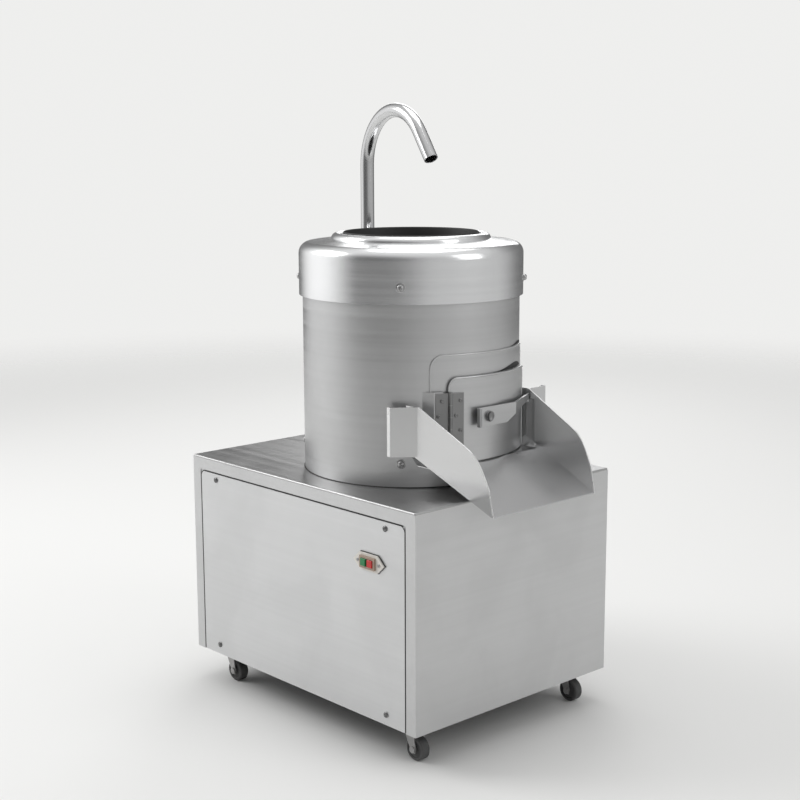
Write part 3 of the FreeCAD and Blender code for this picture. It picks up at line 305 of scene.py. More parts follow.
def toned(colour, factor):
    return tuple(min(1.0, channel * factor) for channel in colour[:3]) + (1.0,)


def grey(level, warmth=0.0):
    return (level * (1 + warmth), level, level * (1 - warmth), 1.0)


# Metal finishes: colour, how rough, which way it is brushed ("wrap" goes round the drum) and how strongly

metalFinishes = {
    "frontSteel": {"colour": grey(0.66, -0.006), "rough": (0.30, 0.44), "lines": (3, 900, 900), "grain": 0.10,
                   "patch": 0.06, "edge": 0.30, "metal": 0.82},
    "sideSteel": {"colour": grey(0.60, -0.004), "rough": (0.30, 0.44), "lines": (900, 3, 900), "grain": 0.10,
                  "patch": 0.06, "edge": 0.30, "metal": 0.88},
    # painted shade: the top plate's steel is a darker copy of the cabinet's steel, standing in for the chute
    # and drum reflected in it
    "shadedTopSteel": {"colour": grey(0.44), "rough": (0.26, 0.38), "lines": (4, 700, 700), "grain": 0.10,
                 "patch": 0.08, "edge": 0.45, "metal": 0.92},
    "barrelSteel": {"colour": grey(0.56, -0.004), "rough": (0.28, 0.40), "lines": (4, 300, 900),
                    "grain": 0.12, "patch": 0.06, "edge": 0.30, "metal": 0.92, "wrap": True},
    "capSteel": {"colour": grey(0.86, -0.006), "rough": (0.15, 0.22), "lines": (3, 300, 700), "grain": 0.04,
                 "patch": 0.05, "edge": 0.25, "metal": 0.95, "wrap": True},
    "pipeSteel": {"colour": grey(0.62, -0.004), "rough": (0.08, 0.15), "lines": (300, 300, 6), "grain": 0.03,
                  "patch": 0.05, "edge": 0.15, "metal": 0.97},
    "chuteSteel": {"colour": grey(0.66, -0.002), "rough": (0.21, 0.24), "lines": (2, 1500, 1500),
                   "grain": 0.02, "patch": 0.02, "edge": 0.30, "metal": 0.93},
    # painted highlight: a lighter, less metallic copy of the chute's steel, for the lit edges of the chute's
    # hems and its ear flange
    "highlightHemSteel": {"colour": grey(0.80), "rough": (0.22, 0.32), "lines": (300, 300, 300), "grain": 0.04,
                 "patch": 0.05, "edge": 0.2, "metal": 0.75},
    "hingeSteel": {"colour": grey(0.26), "rough": (0.30, 0.44), "lines": (4, 300, 700), "grain": 0.10,
                   "patch": 0.12, "edge": 0.55, "metal": 0.90, "wrap": True},
    "screwSteel": {"colour": grey(0.42), "rough": (0.20, 0.34), "lines": (600, 600, 600), "grain": 0.05,
                   "patch": 0.10, "edge": 0.50, "metal": 0.95},
    "darkScrewSteel": {"colour": grey(0.16), "rough": (0.24, 0.36), "lines": (600, 600, 600), "grain": 0.05,
                       "patch": 0.10, "edge": 0.60, "metal": 0.92},
    "shaftSteel": {"colour": grey(0.48), "rough": (0.14, 0.24), "lines": (60, 60, 2500), "grain": 0.05,
                   "patch": 0.08, "edge": 0.40, "metal": 0.97},
    "zincSteel": {"colour": grey(0.44, 0.01), "rough": (0.32, 0.50), "lines": (120, 120, 120), "grain": 0.08,
                  "patch": 0.25, "edge": 0.50, "metal": 0.85},
}

# Other finishes: moulded, painted, rubbed or gritty

plainFinishes = {
    "wheelRubber": {"colour": grey(0.055), "rough": (0.55, 0.75), "size": 500, "bump": 0.10, "patch": 0.5,
                    "patchTone": 2.2, "edge": 0.25},
    "sealRubber": {"colour": grey(0.018), "rough": (0.5, 0.7), "size": 700, "bump": 0.08, "patch": 0.3,
                   "patchTone": 1.8, "edge": 0.15},
    "platePlastic": {"colour": (0.74, 0.71, 0.66, 1), "rough": (0.34, 0.46), "size": 1200, "bump": 0.03,
                     "patch": 0.2, "patchTone": 0.88, "edge": 0.15},
    "bezelPlastic": {"colour": (0.36, 0.27, 0.21, 1), "rough": (0.35, 0.48), "size": 1200, "bump": 0.03,
                     "patch": 0.2, "patchTone": 0.85, "edge": 0.25},
    "bodyPlastic": {"colour": grey(0.05), "rough": (0.40, 0.55), "size": 1200, "bump": 0.04, "patch": 0.2,
                    "patchTone": 1.4, "edge": 0.2},
    "greenPlastic": {"colour": (0.018, 0.22, 0.07, 1), "rough": (0.26, 0.38), "size": 1500, "bump": 0.02,
                     "patch": 0.25, "patchTone": 0.8, "edge": 0.30},
    "redPlastic": {"colour": (0.56, 0.022, 0.020, 1), "rough": (0.26, 0.38), "size": 1500, "bump": 0.02,
                   "patch": 0.25, "patchTone": 0.8, "edge": 0.30},
    "drainPlastic": {"colour": grey(0.20), "rough": (0.36, 0.50), "size": 900, "bump": 0.04, "patch": 0.3,
                     "patchTone": 1.3, "edge": 0.15},
    "glandPlastic": {"colour": grey(0.03), "rough": (0.40, 0.55), "size": 1200, "bump": 0.05, "patch": 0.2,
                     "patchTone": 1.5, "edge": 0.25},
    "framePaint": {"colour": (0.07, 0.075, 0.08, 1), "rough": (0.38, 0.52), "size": 260, "bump": 0.10,
                   "patch": 0.4, "patchTone": 1.4, "edge": 0.6},
    "motorPaint": {"colour": (0.06, 0.11, 0.16, 1), "rough": (0.34, 0.48), "size": 300, "bump": 0.10,
                   "patch": 0.3, "patchTone": 0.75, "edge": 0.5},
    "castIron": {"colour": grey(0.16), "rough": (0.45, 0.62), "size": 350, "bump": 0.25, "patch": 0.4,
                 "patchTone": 0.7, "edge": 0.6, "metal": 0.8},
    "grit": {"colour": grey(0.035, 0.03), "rough": (0.60, 0.85), "size": 420, "bump": 0.9, "patch": 0.4,
             "patchTone": 1.8, "edge": 0.2, "grains": 0.5},
}

metalLook = {
    "patchSize": 7.0,
    "wearWidth": 0.0012,
    "streakShare": 0.8,
    "soilShare": 2.2,
    "soilTone": 0.72,
    "wornColour": grey(0.86),
    "noiseSpan": (0.3, 0.7),
    "scratchHeight": 0.0004,
}
plainLook = {
    "patchSize": 22.0,
    "wearWidth": 0.0010,
    "grainColour": grey(0.16, 0.02),
    "wornTone": 2.4,
    "noiseSpan": (0.3, 0.7),
    "bumpHeight": 0.0006,
}


def newMaterial(name):
    material = bpy.data.materials.new(name)
    material.use_nodes = True
    tree = material.node_tree
    tree.nodes.clear()
    return material, tree, addNode(tree, "ShaderNodeTexCoord").outputs["Object"]


def roughness(tree, noise, look, values):
    start, end = look["noiseSpan"]
    low, high = values["rough"]
    return addNode(tree, "ShaderNodeMapRange", {"Value": noise, "From Min": start, "From Max": end,
                                                "To Min": low, "To Max": high}).outputs[0]


def finishMaterial(tree, colour, rough, bump, metal):
    shader = addNode(tree, "ShaderNodeBsdfPrincipled", {"Base Color": colour, "Roughness": rough,
                                                        "Normal": bump.outputs[0], "Metallic": metal})
    addNode(tree, "ShaderNodeOutputMaterial", {"Surface": shader.outputs[0]})


def metalMaterial(name, values):
    material, tree, place = newMaterial(name)
    look, colour, grainShare = metalLook, values["colour"], values["grain"]
    along = useEffect(tree, "drumWrap", {"Place": place})["Unrolled"] if values.get("wrap") else place
    grain = useEffect(tree, "brushedGrain", {"Place": along, "Lines": values["lines"]})
    patch = useEffect(tree, "handling", {"Place": place, "Size": look["patchSize"]})["Patch"]
    edge = useEffect(tree, "edgeWear", {"Width": look["wearWidth"], "Place": place})["Edge"]
    streaked = blendColour(tree, grain["Streak"], toned(colour, 1.0 - grainShare * look["streakShare"]),
                           toned(colour, 1.0 + grainShare * look["streakShare"]))
    handled = times(tree, patch, values["patch"] * look["soilShare"])
    soiled = blendColour(tree, handled, streaked, toned(colour, look["soilTone"]))
    tinted = blendColour(tree, times(tree, edge, values["edge"]), soiled, look["wornColour"])
    rough = roughness(tree, grain["Streak"], look, values)
    smeared = addNode(tree, "ShaderNodeMath", {0: patch, 1: values["patch"], 2: rough},
                      operation="MULTIPLY_ADD").outputs[0]
    bump = addNode(tree, "ShaderNodeBump", {"Strength": grainShare, "Distance": look["scratchHeight"],
                                            "Height": grain["Scratch"]})
    finishMaterial(tree, tinted, smeared, bump, values["metal"])
    return material


def plainMaterial(name, values):
    material, tree, place = newMaterial(name)
    look, colour = plainLook, values["colour"]
    speck = useEffect(tree, "speckle", {"Place": place, "Size": values["size"]})
    patch = useEffect(tree, "handling", {"Place": place, "Size": look["patchSize"]})["Patch"]
    edge = useEffect(tree, "edgeWear", {"Width": look["wearWidth"], "Place": place})["Edge"]
    varied = blendColour(tree, times(tree, patch, values["patch"]), colour,
                         toned(colour, values["patchTone"]))
    if "grains" in values:
        shown = times(tree, speck["Grain"], values["grains"])
        varied = blendColour(tree, shown, varied, look["grainColour"])
    tinted = blendColour(tree, times(tree, edge, values["edge"]), varied, toned(colour, look["wornTone"]))
    rough = roughness(tree, speck["Height"], look, values)
    bump = addNode(tree, "ShaderNodeBump", {"Strength": values["bump"], "Distance": look["bumpHeight"],
                                            "Height": speck["Height"]})
    finishMaterial(tree, tinted, rough, bump, values.get("metal", 0.0))
    return material


finishes = {name: metalMaterial(name, values) for name, values in metalFinishes.items()}
finishes.update({name: plainMaterial(name, values) for name, values in plainFinishes.items()})
print("finishes made:", len(finishes))

# Which nodes wear which finish

finishOfNode = {
    "frontSteel": ["front_panel"],
    "sideSteel": ["cabinet_shell"],
    "shadedTopSteel": ["top_plate"],
    "barrelSteel": ["barrel", "door_frame", "discharge_door", "drum_floor", "latch_bar", "latch_keeper",
                    "hinge_block"],
    "capSteel": ["cap_ring"],
    "pipeSteel": ["water_pipe", "pipe_fitting", "water_inlet"],
    "chuteSteel": ["discharge_chute"],
    "hingeSteel": ["hinge_leaf_fixed", "hinge_leaf_door", "hinge_pin", "latch_bolt"],
    "screwSteel": ["panel_screws", "barrel_screws", "cap_screws", "hinge_screws_fixed", "hinge_screws_door",
                   "switch_screws", "disc_nut"],
    "shaftSteel": ["main_shaft", "shaft_bearings", "motor_shaft"],
    "zincSteel": ["caster_plates"] + [f"caster_fork_{corner}" for corner in range(1, 5)],
    "wheelRubber": [f"caster_wheel_{corner}" for corner in range(1, 5)],
    "sealRubber": ["door_seal", "shaft_seal", "switch_gasket", "drive_belt"],
    "platePlastic": ["switch_plate"],
    "bezelPlastic": ["switch_bezel"],
    "bodyPlastic": ["switch_body"],
    "greenPlastic": ["start_button"],
    "redPlastic": ["stop_button"],
    "drainPlastic": ["drain_pipe"],
    "glandPlastic": ["cable_gland"],
    "framePaint": ["base_frame", "motor_mount", "bearing_housing"],
    "motorPaint": ["motor_housing", "motor_fan_cover", "motor_terminal_box"],
    "castIron": ["driven_pulley", "motor_pulley", "turntable"],
    "grit": ["abrasive_liner", "abrasive_disc"],
}

for finishName, nodeNames in finishOfNode.items():
    for nodeName in nodeNames:
        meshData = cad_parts[nodeName].data
        meshData.materials.clear()
        meshData.materials.append(finishes[finishName])
unpainted = set(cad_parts) - {name for names in finishOfNode.values() for name in names}
print("nodes painted, left over:", sorted(unpainted))

# Helpers for the added pieces: every surface is a grid of points worked out with numpy


def outwardFaces(grid, lids):
    # the faces between a grid's rows, whose columns close on themselves, and its end rows where lids is set
    rows, columns = grid.shape[:2]
    numbers = np.arange(rows * columns).reshape(rows, columns)
    after = np.roll(numbers, -1, axis=1)
    quads = np.stack([numbers[:-1], numbers[1:], after[1:], after[:-1]], axis=-1).reshape(-1, 4)
    ends = [numbers[0], numbers[-1][::-1]] if lids else []
    # six times the signed volume is below zero where the faces look inwards
    corners = grid.reshape(-1, 3)
    a, b, c, d = (corners[quads[:, k]] for k in range(4))
    volume = (a * np.cross(b, c)).sum() + (a * np.cross(c, d)).sum()
    for end in ends:
        rim = corners[end]
        volume += (rim[:1] * np.cross(rim[1:-1], rim[2:])).sum()
    faces = [face.tolist() for face in [*quads, *ends]]
    return [face[::-1] for face in faces] if volume < 0 else faces


def addSurface(name, grids, finish, body, lids=False, sharp=38.0, replaced=()):
    # one piece of one or more grids, each rows x columns x 3 in metres; sharp is the angle of its hard edges
    mergeWithin = 1e-7
    points, faces, start = [], [], 0
    for grid in grids:
        faces += [[start + number for number in face] for face in outwardFaces(grid, lids)]
        points.append(grid.reshape(-1, 3))
        start += len(points[-1])
    mesh = bpy.data.meshes.new(name)
    mesh.from_pydata(np.concatenate(points).tolist(), [], faces)
    shape = bmesh.new()
    shape.from_mesh(mesh)
    bmesh.ops.remove_doubles(shape, verts=shape.verts, dist=mergeWithin)
    shape.to_mesh(mesh)
    shape.free()
    mesh.shade_smooth()
    mesh.set_sharp_from_angle(angle=math.radians(sharp))
    mesh.materials.append(finishes[finish])
    piece = bpy.data.objects.new(name, mesh)
    scene.collection.objects.link(piece)
    if replaced:
        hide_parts(*replaced)
    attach(piece, body)


def around(radius, degrees, height):
    # a place at a radius, angle and height about the drum's axis; millimetres in, metres out
    turn = np.radians(degrees)
    radius, turn, height = np.broadcast_arrays(radius, turn, height)
    return np.stack([drumCentre[0] + radius * np.cos(turn) / 1000,
                     drumCentre[1] + radius * np.sin(turn) / 1000, height / 1000], axis=-1)


def outFromDrum(degrees):
    turn = np.radians(degrees)
    return np.stack([np.cos(turn), np.sin(turn), np.zeros_like(turn)], axis=-1)


def fromDrum(x, y, z):
    # a place given in millimetres from the drum's axis and the floor, in metres
    x, y, z = np.broadcast_arrays(x, y, z)
    return np.stack([drumCentre[0] * 1000 + x, drumCentre[1] * 1000 + y, z], axis=-1) / 1000


def heading(spots):
    return unit(np.gradient(spots, axis=0))


def carried(path, outward, across, profile, swell=1.0):
    # each path point carries the profile, whose first number goes outward and second across; swell scales the
    # first number, and is one value or a value for each path point
    path, outward, across = (np.asarray(item, float)[:, None, :] for item in (path, outward, across))
    profile = np.asarray(profile, float)
    lift = profile[None, :, 0] * np.reshape(swell, (-1, 1))
    return path + outward * lift[..., None] + across * profile[None, :, 1, None]


def turnedShape(profile, centre, axis, steps=64):
    # a (radius, height) profile in millimetres carried round an axis through the centre
    axis = np.asarray(axis, float)
    first = unit(np.cross((1.0, 0.0, 0.0) if abs(axis[2]) > 0.9 else (0.0, 0.0, 1.0), axis))
    second = np.cross(axis, first)
    turns = np.linspace(0, 2 * np.pi, steps, endpoint=False)
    radii, heights = (np.asarray(profile, float) / 1000).T[..., None, None]
    spokes = np.cos(turns)[:, None] * first + np.sin(turns)[:, None] * second
    return np.asarray(centre, float) + radii * spokes + heights * axis


# Screws with a cross recess, some with a washer; sizes in millimetres

screwSizes = {
    "barrel_screws": {"head": 5.6, "rise": 4.6, "shank": 2.5, "length": 6.0, "washer": 7.9, "recess": 1.6},
    "cap_screws": {"head": 5.6, "rise": 6.4, "shank": 2.5, "length": 12.0, "washer": 7.9, "recess": 2.0},
    "panel_screws": {"head": 5.0, "rise": 2.9, "shank": 1.9, "length": 0.4, "recess": 1.4},
    "switch_screws": {"head": 3.0, "rise": 1.6, "shank": 1.5, "length": 3.6, "recess": 1.0},
    "hinge_screws_fixed": {"head": 3.4, "rise": 1.6, "shank": 1.75, "length": 5.0, "recess": 1.1},
    "hinge_screws_door": {"head": 3.4, "rise": 1.6, "shank": 1.75, "length": 5.0, "recess": 1.1},
}
screwForm = {
    "steps": 48,
    "sunk": 0.05,           # how far the head or washer dips into what it sits on
    "washerTop": 0.55,
    "washerEdge": 0.5,
    "seat": 0.9,            # the height of the head's foot above a washer
    "sideShare": 0.28,      # the head's upright side, as a share of its rise
    "domeShare": 0.98,
    "rimSpan": (1.0, 0.62),     # the dome's rings from its rim in to its middle, as shares of the radius
    "rimSteps": 6,
    "middleSpan": (0.56, 0.0),
    "middleSteps": 12,
    "armWidth": 0.13,       # the cross, as shares of the head's radius
    "armFade": 0.06,
    "armLength": 0.56,
    "endFade": 0.12,
    "firstTwist": 0.5,      # radians
    "nextTwist": 1.1,
}


def screwShape(size, centre, outward, twist):
    # the profile runs from the shank's end, under the head, up its side and in over the dome; a cross whose
    # arms fade at their edges lowers the dome
    form, head, shank, washer = screwForm, size["head"], size["shank"], size.get("washer")
    under, side = -form["sunk"], form["sideShare"]
    seat = form["seat"] if washer else 0.0
    foot = [(0, -size["length"]), (shank, -size["length"]), (shank, under)]
    if washer:
        foot += [(washer, under), (washer, form["washerTop"]), (washer - form["washerEdge"], seat),
                 (head, seat)]
    else:
        foot += [(head, under)]
    inwards = np.concatenate([np.linspace(*form["rimSpan"], form["rimSteps"]),
                              np.linspace(*form["middleSpan"], form["middleSteps"])])
    rounded = np.sqrt(np.clip(1 - (inwards * form["domeShare"]) ** 2, 0, 1))
    dome = np.maximum(size["rise"] * (side + (1 - side) * rounded), seat + form["sunk"])
    radii = np.array([radius for radius, height in foot] + list(head * inwards))
    heights = np.array([height for radius, height in foot] + list(dome))
    turns = np.linspace(0, 2 * np.pi, form["steps"], endpoint=False)
    along = np.abs(radii[:, None] * np.cos(turns + twist))
    across = np.abs(radii[:, None] * np.sin(turns + twist))
    thin, far = np.minimum(along, across), np.maximum(along, across)
    arms = np.clip((form["armWidth"] * head - thin) / (form["armFade"] * head) + 0.5, 0, 1)
    ends = np.clip((form["armLength"] * head - far) / (form["endFade"] * head), 0, 1)
    onDome = (np.arange(len(radii)) >= len(foot))[:, None]
    height = heights[:, None] - size["recess"] * (arms * ends) * onDome
    axis = np.asarray(outward, float)
    first = unit(np.cross((0.0, 0.0, 1.0), axis))
    spokes = np.cos(turns)[:, None] * first + np.sin(turns)[:, None] * np.cross(axis, first)
    return np.asarray(centre, float) + (radii[:, None, None] * spokes + height[..., None] * axis) / 1000


# Where the screws sit: on the drum in degrees and millimetres, on the cabinet's front in metres

frontFace = -0.233
leafLevels = (503.0, 528.0, 553.0, 578.0)
drumScrews = {
    "barrel_screws": {"angles": (-48, 42, 132, 222), "radius": 190.0, "levels": (472,) * 4},
    "cap_screws": {"angles": (-48, 42, 132, 222), "radius": 196.0, "levels": (766,) * 4},
    "hinge_screws_fixed": {"angles": (-30.1, -28.2) * 2, "radius": 199.0, "levels": leafLevels},
    "hinge_screws_door": {"angles": (-21.2, -18.8) * 2, "radius": 198.8, "levels": leafLevels},
}
frontScrews = {
    "panel_screws": {"face": frontFace, "columns": (-0.230, 0.230), "levels": (0.080, 0.393)},
    "switch_screws": {"face": frontFace - 0.004, "columns": (0.167, 0.219), "levels": (0.330,)},
}

screwSpots = {}
for screwNode, row in drumScrews.items():
    screwSpots[screwNode] = [(around(row["radius"], angle, level), outFromDrum(angle))
                             for angle, level in zip(row["angles"], row["levels"])]
for screwNode, row in frontScrews.items():
    screwSpots[screwNode] = [((across, row["face"], level), (0, -1, 0))
                             for across in row["columns"] for level in row["levels"]]

for screwNode, spots in screwSpots.items():
    shapes = [screwShape(screwSizes[screwNode], centre, outward,
                         screwForm["firstTwist"] + screwForm["nextTwist"] * order)
              for order, (centre, outward) in enumerate(spots)]
    screwBody = "door" if screwNode == "hinge_screws_door" else "root"
    screwFinish = "darkScrewSteel" if screwNode.startswith(("panel", "hinge")) else "screwSteel"
    addSurface(screwNode + "_crosshead", shapes, screwFinish, screwBody,
               replaced=(screwNode,))
print("screws made")

# Rolled edges of the door and its frame: degrees round the drum, and millimetres

edgeBeads = {
    "door_frame_rolled_edge": {"body": "root", "radius": 191.15, "angles": (-33.6, 40.5), "corner": 22.0,
                               "feet": (468.0, 468.0), "top": 653.0, "rise": 1.1, "half": 1.3, "flare": 1.3},
    "door_rolled_edge": {"body": "door", "radius": 196.35, "angles": (-24.6, 36.0), "corner": 16.0,
                         "feet": (593.0, 474.0), "top": 615.0, "rise": 1.2, "half": 1.5, "flare": 1.8},
}
beadForm = {
    "sideSteps": 16,
    "bendSteps": 14,
    "topSteps": 60,
    "roundSteps": 13,
    "sunk": 0.35,
    "flareStart": 2.0,      # the bead of the top edge swells from this angle, over this many degrees
    "flareSpan": 26.0,
    "topBand": 2.0,
}


def edgePath(values):
    # up one side, round the corner, along the top and down the other side, as (angle, height) on the drum
    low, high = values["angles"]
    corner, top = values["corner"], values["top"]
    turned = corner / (math.radians(1) * values["radius"])
    sides, bend = beadForm["sideSteps"], np.linspace(0, np.pi / 2, beadForm["bendSteps"])
    left = [(low, height) for height in np.linspace(values["feet"][0], top - corner, sides)[:-1]]
    left += [(low + turned * (1 - math.cos(b)), top - corner * (1 - math.sin(b))) for b in bend]
    across = [(angle, top) for angle in np.linspace(low + turned, high - turned, beadForm["topSteps"])[1:-1]]
    right = [(high - turned * (1 - math.sin(b)), top - corner * (1 - math.cos(b))) for b in bend]
    right += [(high, height) for height in np.linspace(top - corner, values["feet"][1], sides)[1:]]
    return np.array(left + across + right)


def beadProfile(values):
    # a half round on a flat back that sits a little inside the sheet
    turns = np.linspace(math.pi / 2, -math.pi / 2, beadForm["roundSteps"])
    halfRound = [(values["rise"] * math.cos(turn), -values["half"] * math.sin(turn)) for turn in turns]
    return [(-beadForm["sunk"], -values["half"])] + halfRound + [(-beadForm["sunk"], values["half"])]


for beadName, bead in edgeBeads.items():
    angles, heights = edgePath(bead).T
    spots = around(bead["radius"], angles, heights)
    outward = outFromDrum(angles)
    onTop = heights > bead["top"] - beadForm["topBand"]
    share = np.clip((angles - beadForm["flareStart"]) / beadForm["flareSpan"], 0, 1)
    profile = np.array(beadProfile(bead)) / 1000
    beadGrid = carried(spots, outward, np.cross(heading(spots), outward), profile,
                       1 + bead["flare"] * share ** 2 * onTop)
    addSurface(beadName, [beadGrid], "barrelSteel", bead["body"], lids=True, sharp=60)

# Painted shade above those edges: thin dark sheets shaped as a lens that rises slowly and ends steeply,
# tallest at the share called peak

headShadePatches = {
    "door_head_painted_shade": {"radius": 191.35, "angles": (3.0, 36.0), "foot": 616.6, "tall": 8.5, "peak": 0.72},
    "frame_head_painted_shade": {"radius": 190.05, "angles": (20.0, 40.0), "foot": 654.6, "tall": 4.6, "peak": 0.70},
}
shadePatchForm = {"steps": 48, "least": 0.25, "thick": 0.6}

for shadePatchName, shadePatch in headShadePatches.items():
    share, peak = np.linspace(0, 1, shadePatchForm["steps"]), shadePatch["peak"]
    low, high = shadePatch["angles"]
    angles = low + (high - low) * share
    rising = np.sin(share / peak * np.pi / 2) ** 2
    falling = np.cos((share - peak) / (1 - peak) * np.pi / 2)
    foot = shadePatch["foot"]
    head = foot + shadePatchForm["least"] + shadePatch["tall"] * np.where(share < peak, rising, falling)
    inside, outside = shadePatch["radius"], shadePatch["radius"] + shadePatchForm["thick"]
    corners = [around(radius, angles, height) for radius, height in ((inside, foot), (inside, head),
                                                                     (outside, head), (outside, foot))]
    addSurface(shadePatchName, [np.stack(corners, axis=1)], "sealRubber", "root", lids=True)
print("door edges made")

# Turned trim: radius and height in millimetres, round the drum's axis or the latch bolt's

upwards = (0, 0, 1)
drumSteps = 128
# A dark sleeve inside the feed opening's rim: partly the black lining, partly painted shade of the opening's
# inner wall
feedSleeve = [(118.4, 844.6), (118.9, 843.2), (118.9, 806.0), (116.0, 806.0), (116.0, 843.2), (116.6, 844.8),
              (117.5, 845.4), (118.4, 844.6)]
addSurface("feed_rim_lining_and_shade", [turnedShape(feedSleeve, drumFoot, upwards, drumSteps)], "sealRubber", "root",
           sharp=50)

latchBolt = {
    "place": (0.2365, -0.006, 0.547),
    "axis": (1, 0, 0),
    "steps": 56,
    "profile": [(0, -12), (3.9, -12), (3.9, -3.8), (7, -3.8), (7, -0.2), (4, -0.2), (4, 3.2), (9, 3.2),
                (9, 5.6), (8.7, 6.4), (8.0, 6.7), (7.2, 6.4), (6.4, 5.2), (5.0, 4.3), (2.5, 3.9), (0, 3.8)],
}
addSurface("latch_bolt_dished", [turnedShape(latchBolt["profile"], latchBolt["place"], latchBolt["axis"],
                                             latchBolt["steps"])],
           "hingeSteel", "door", replaced=("latch_bolt",), sharp=50)

# Latch: a painted shadow, a dark crescent round the near side of the bolt where its raised head shades the
# bar

crescent = {"face": 0.24325, "centre": (-0.006, 0.547), "outer": 9.0, "inner": 8.3, "shift": 3.6,
            "rise": 0.35, "sweep": (100, 260), "steps": 40}


def crescentGrid(values):
    turns = np.linspace(*np.radians(values["sweep"]), values["steps"])
    bulge = values["shift"] * np.sin(np.linspace(0, np.pi, values["steps"]))
    outer = (values["outer"] * np.cos(turns), values["outer"] * np.sin(turns))
    inner = (values["inner"] * np.cos(turns) + bulge, values["inner"] * np.sin(turns))
    y, z = values["centre"]
    ring = [(outer, 0), (outer, values["rise"]), (inner, values["rise"]), (inner, 0)]
    return np.stack([np.stack([np.full_like(turns, values["face"] + rise / 1000), y + across / 1000,
                               z + up / 1000], axis=1) for (across, up), rise in ring], axis=1)


addSurface("latch_shadow_crescent", [crescentGrid(crescent)], "sealRubber", "door", lids=True)

# Chute, in millimetres: x from the drum's axis, half widths, and heights above the top plate

topPlate = 431.0
chute = {"foldX": 160.4, "tipX": 322.0, "foldHalf": 134.0, "tipHalf": 124.0, "wallTop": 140.0,
         "tipLow": -19.0}
wallEdge = [(chute["foldX"], chute["wallTop"]), (260, 90), (278, 80), (289, 69), (297, 57), (305, 42),
            (313, 25), (chute["tipX"], chute["tipLow"])]
hem = {"inset": 1.0, "edgeSteps": 8, "roundSteps": 12, "tall": 1.0, "sunk": 0.4, "half": 1.3}


def chuteHem(side):
    # a round edge on the wall, painted lighter as a highlight, from the fold to the tip, straight between the
    # sheet's own corners
    corners = np.array(wallEdge)
    steps = [np.linspace(a, b, hem["edgeSteps"])[:-1] for a, b in zip(corners[:-1], corners[1:])]
    x, height = np.concatenate(steps + [corners[-1:]]).T
    half = np.interp(x, (chute["foldX"], chute["tipX"]), (chute["foldHalf"], chute["tipHalf"])) - hem["inset"]
    spots = fromDrum(x, side * half, topPlate + height)
    across = np.tile((0.0, 1.0, 0.0), (len(spots), 1))
    turns = np.linspace(0, 2 * np.pi, hem["roundSteps"], endpoint=False)
    profile = np.stack([hem["tall"] * np.cos(turns) - hem["sunk"], hem["half"] * np.sin(turns)], axis=1)
    return carried(spots, np.cross(heading(spots), across), across, profile / 1000)


addSurface("chute_hems", [chuteHem(-1), chuteHem(1)], "highlightHemSteel", "root", lids=True, sharp=60)

footStrip = {
    "steps": 12,
    "drumClear": 190.4,     # just outside the drum
    "rear": 193.5,          # x where the sloped floor begins
    "outerHalf": 132.8,     # y inside the wall, at the fold
    "innerHalf": 122.4,     # y at the level floor's edge
    "level": 38.7,
    "foldFoot": 53.2,       # the height of the wall's foot at the fold
    "slope": 0.4394,
    "halfGauge": 0.9,
}


def chuteFootStrip(side):
    # a sloped strip that closes the corner between the wall's foot and the level floor, behind the fold
    strip, share = footStrip, np.linspace(0, 1, footStrip["steps"])
    rearX = [math.sqrt(strip["drumClear"] ** 2 - strip[key] ** 2) for key in ("outerHalf", "innerHalf")]
    outerX, innerX = ((1 - share) * x + share * strip["rear"] for x in rearX)
    taper = (chute["foldHalf"] - chute["tipHalf"]) / (chute["tipX"] - chute["foldX"])
    outerY = strip["outerHalf"] + (chute["foldX"] - outerX) * taper
    foot = strip["foldFoot"] + (chute["foldX"] - outerX) * strip["slope"]
    ring = [(outerX, outerY, foot, -1), (outerX, outerY, foot, 1),
            (innerX, strip["innerHalf"], strip["level"], 1), (innerX, strip["innerHalf"], strip["level"], -1)]
    return np.stack([fromDrum(x, side * y, topPlate + (z + up * strip["halfGauge"])) for x, y, z, up in ring],
                    axis=1)


addSurface("chute_foot_strips", [chuteFootStrip(-1), chuteFootStrip(1)], "chuteSteel", "root",
           lids=True, sharp=30)

# The near ear's end flange, bent back from the ear and painted lighter as a highlight; along and front are
# directions seen from above

earFlange = {"earHalf": 132.0, "earTurn": 40.0, "reach": 47.6, "bend": 55.0, "width": 8.6, "gauge": 1.6,
             "span": (57.2, 139.8)}


def earFlangeGrid(values):
    turn, bend = math.radians(values["earTurn"]), math.radians(values["bend"])
    earAlong = np.array([-math.sin(turn), -math.cos(turn), 0.0])
    earFront = np.array([math.cos(turn), -math.sin(turn), 0.0])
    along = math.cos(bend) * earAlong - math.sin(bend) * earFront
    front = math.sin(bend) * earAlong + math.cos(bend) * earFront
    root = np.array([chute["foldX"], -values["earHalf"], topPlate]) + values["reach"] * earAlong
    width, gauge = values["width"], values["gauge"]
    rows = [[fromDrum(*(root + along * a + front * f + np.array([0.0, 0.0, height])))
             for a, f in ((0, 0), (width, 0), (width, -gauge), (0, -gauge))] for height in values["span"]]
    return np.array(rows)


addSurface("chute_ear_flange", [earFlangeGrid(earFlange)], "highlightHemSteel", "root", lids=True,
           sharp=30)
print("chute edges made")

# Front panel: the dark seam round its sides and top, with rounded upper corners

panelSeam = {"halfWidth": 276.3, "low": 62.5, "high": 405.5, "corner": 12.0, "bendSteps": 10, "halfLine": 1.0,
             "crown": 0.9, "rise": 0.15, "sunk": 0.4}


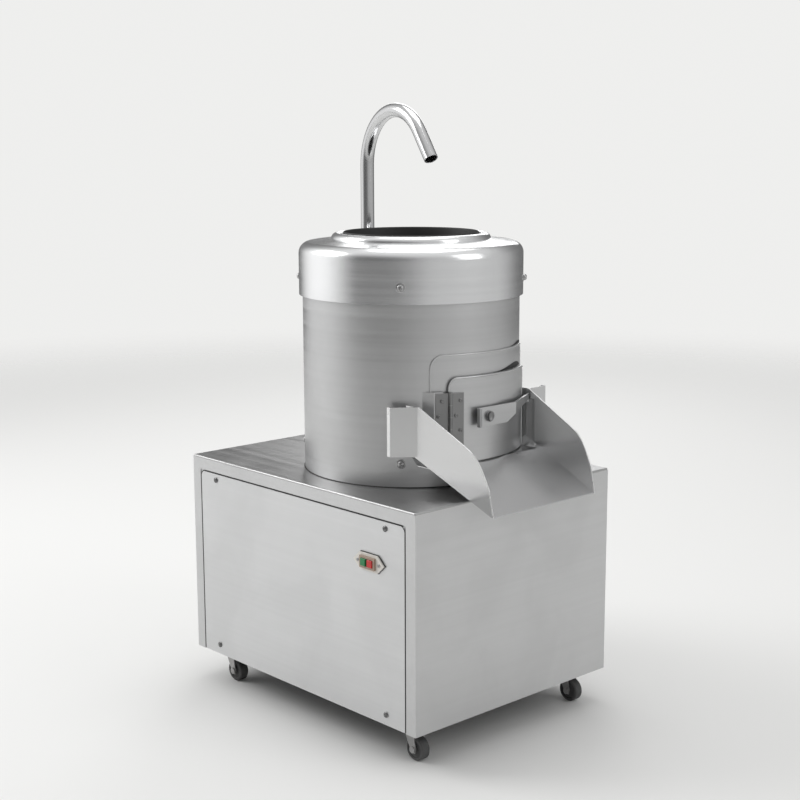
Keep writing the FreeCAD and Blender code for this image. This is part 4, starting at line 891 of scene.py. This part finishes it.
def seamPath(values):
    # up the left side, round the corner, along the top, round the other corner and down, as (x, z)
    reach, low, high, corner = (values[key] for key in ("halfWidth", "low", "high", "corner"))
    bend = np.linspace(0, np.pi / 2, values["bendSteps"])
    left = np.stack([-reach + corner * (1 - np.cos(bend)), high - corner * (1 - np.sin(bend))], axis=1)
    right = (left * (-1, 1))[::-1]
    return np.concatenate([[(-reach, low)], left, right, [(reach, low)]]) / 1000


def seamProfile(values):
    line, rise = values["halfLine"], values["rise"]
    crown = line * values["crown"]
    return np.array([(-values["sunk"], -line), (rise, -crown), (rise, crown), (-values["sunk"], line)]) / 1000


seamX, seamZ = seamPath(panelSeam).T
seamSpots = np.stack([seamX, np.full_like(seamX, frontFace), seamZ], axis=1)
forwards = np.tile((0.0, -1.0, 0.0), (len(seamSpots), 1))
seamGrid = carried(seamSpots, forwards, np.cross(heading(seamSpots), forwards), seamProfile(panelSeam))
addSurface("panel_dark_seam", [seamGrid], "sealRubber", "root", lids=True)

# Drum foot: painted shade, a thin dark bead in the crease where the drum stands on the top plate

footBead = [(189.9, 431.0), (191.6, 431.0), (191.3, 431.9), (190.5, 432.6), (189.9, 432.8), (189.9, 431.0)]
addSurface("drum_foot_shade_bead", [turnedShape(footBead, drumFoot, upwards, drumSteps)], "sealRubber", "root",
           sharp=70)
print("seams made")

# Casters: three raised ribs round each tread; radius and offset in millimetres, places in metres

casters = {"swivelX": 0.247, "trail": 0.013, "swivelY": 0.190, "axle": 0.020,
           "corners": ((-1, -1), (1, -1), (-1, 1), (1, 1))}
tread = {"offsets": (-5.5, 0.0, 5.5), "steps": 64,
         "rib": [(19.2, -1.9), (19.85, -1.5), (19.98, 0.0), (19.85, 1.5), (19.2, 1.9), (19.0, 0.0),
                 (19.2, -1.9)]}

for corner, (sideX, sideY) in enumerate(casters["corners"], start=1):
    hub = (casters["swivelX"] * sideX + casters["trail"], casters["swivelY"] * sideY, casters["axle"])
    ribs = [turnedShape(np.array(tread["rib"]) + (0, offset), hub, (0, 1, 0), tread["steps"])
            for offset in tread["offsets"]]
    addSurface(f"caster_tread_{corner}", ribs, "wheelRubber", f"wheel_{corner}", sharp=60)
print("casters dressed")
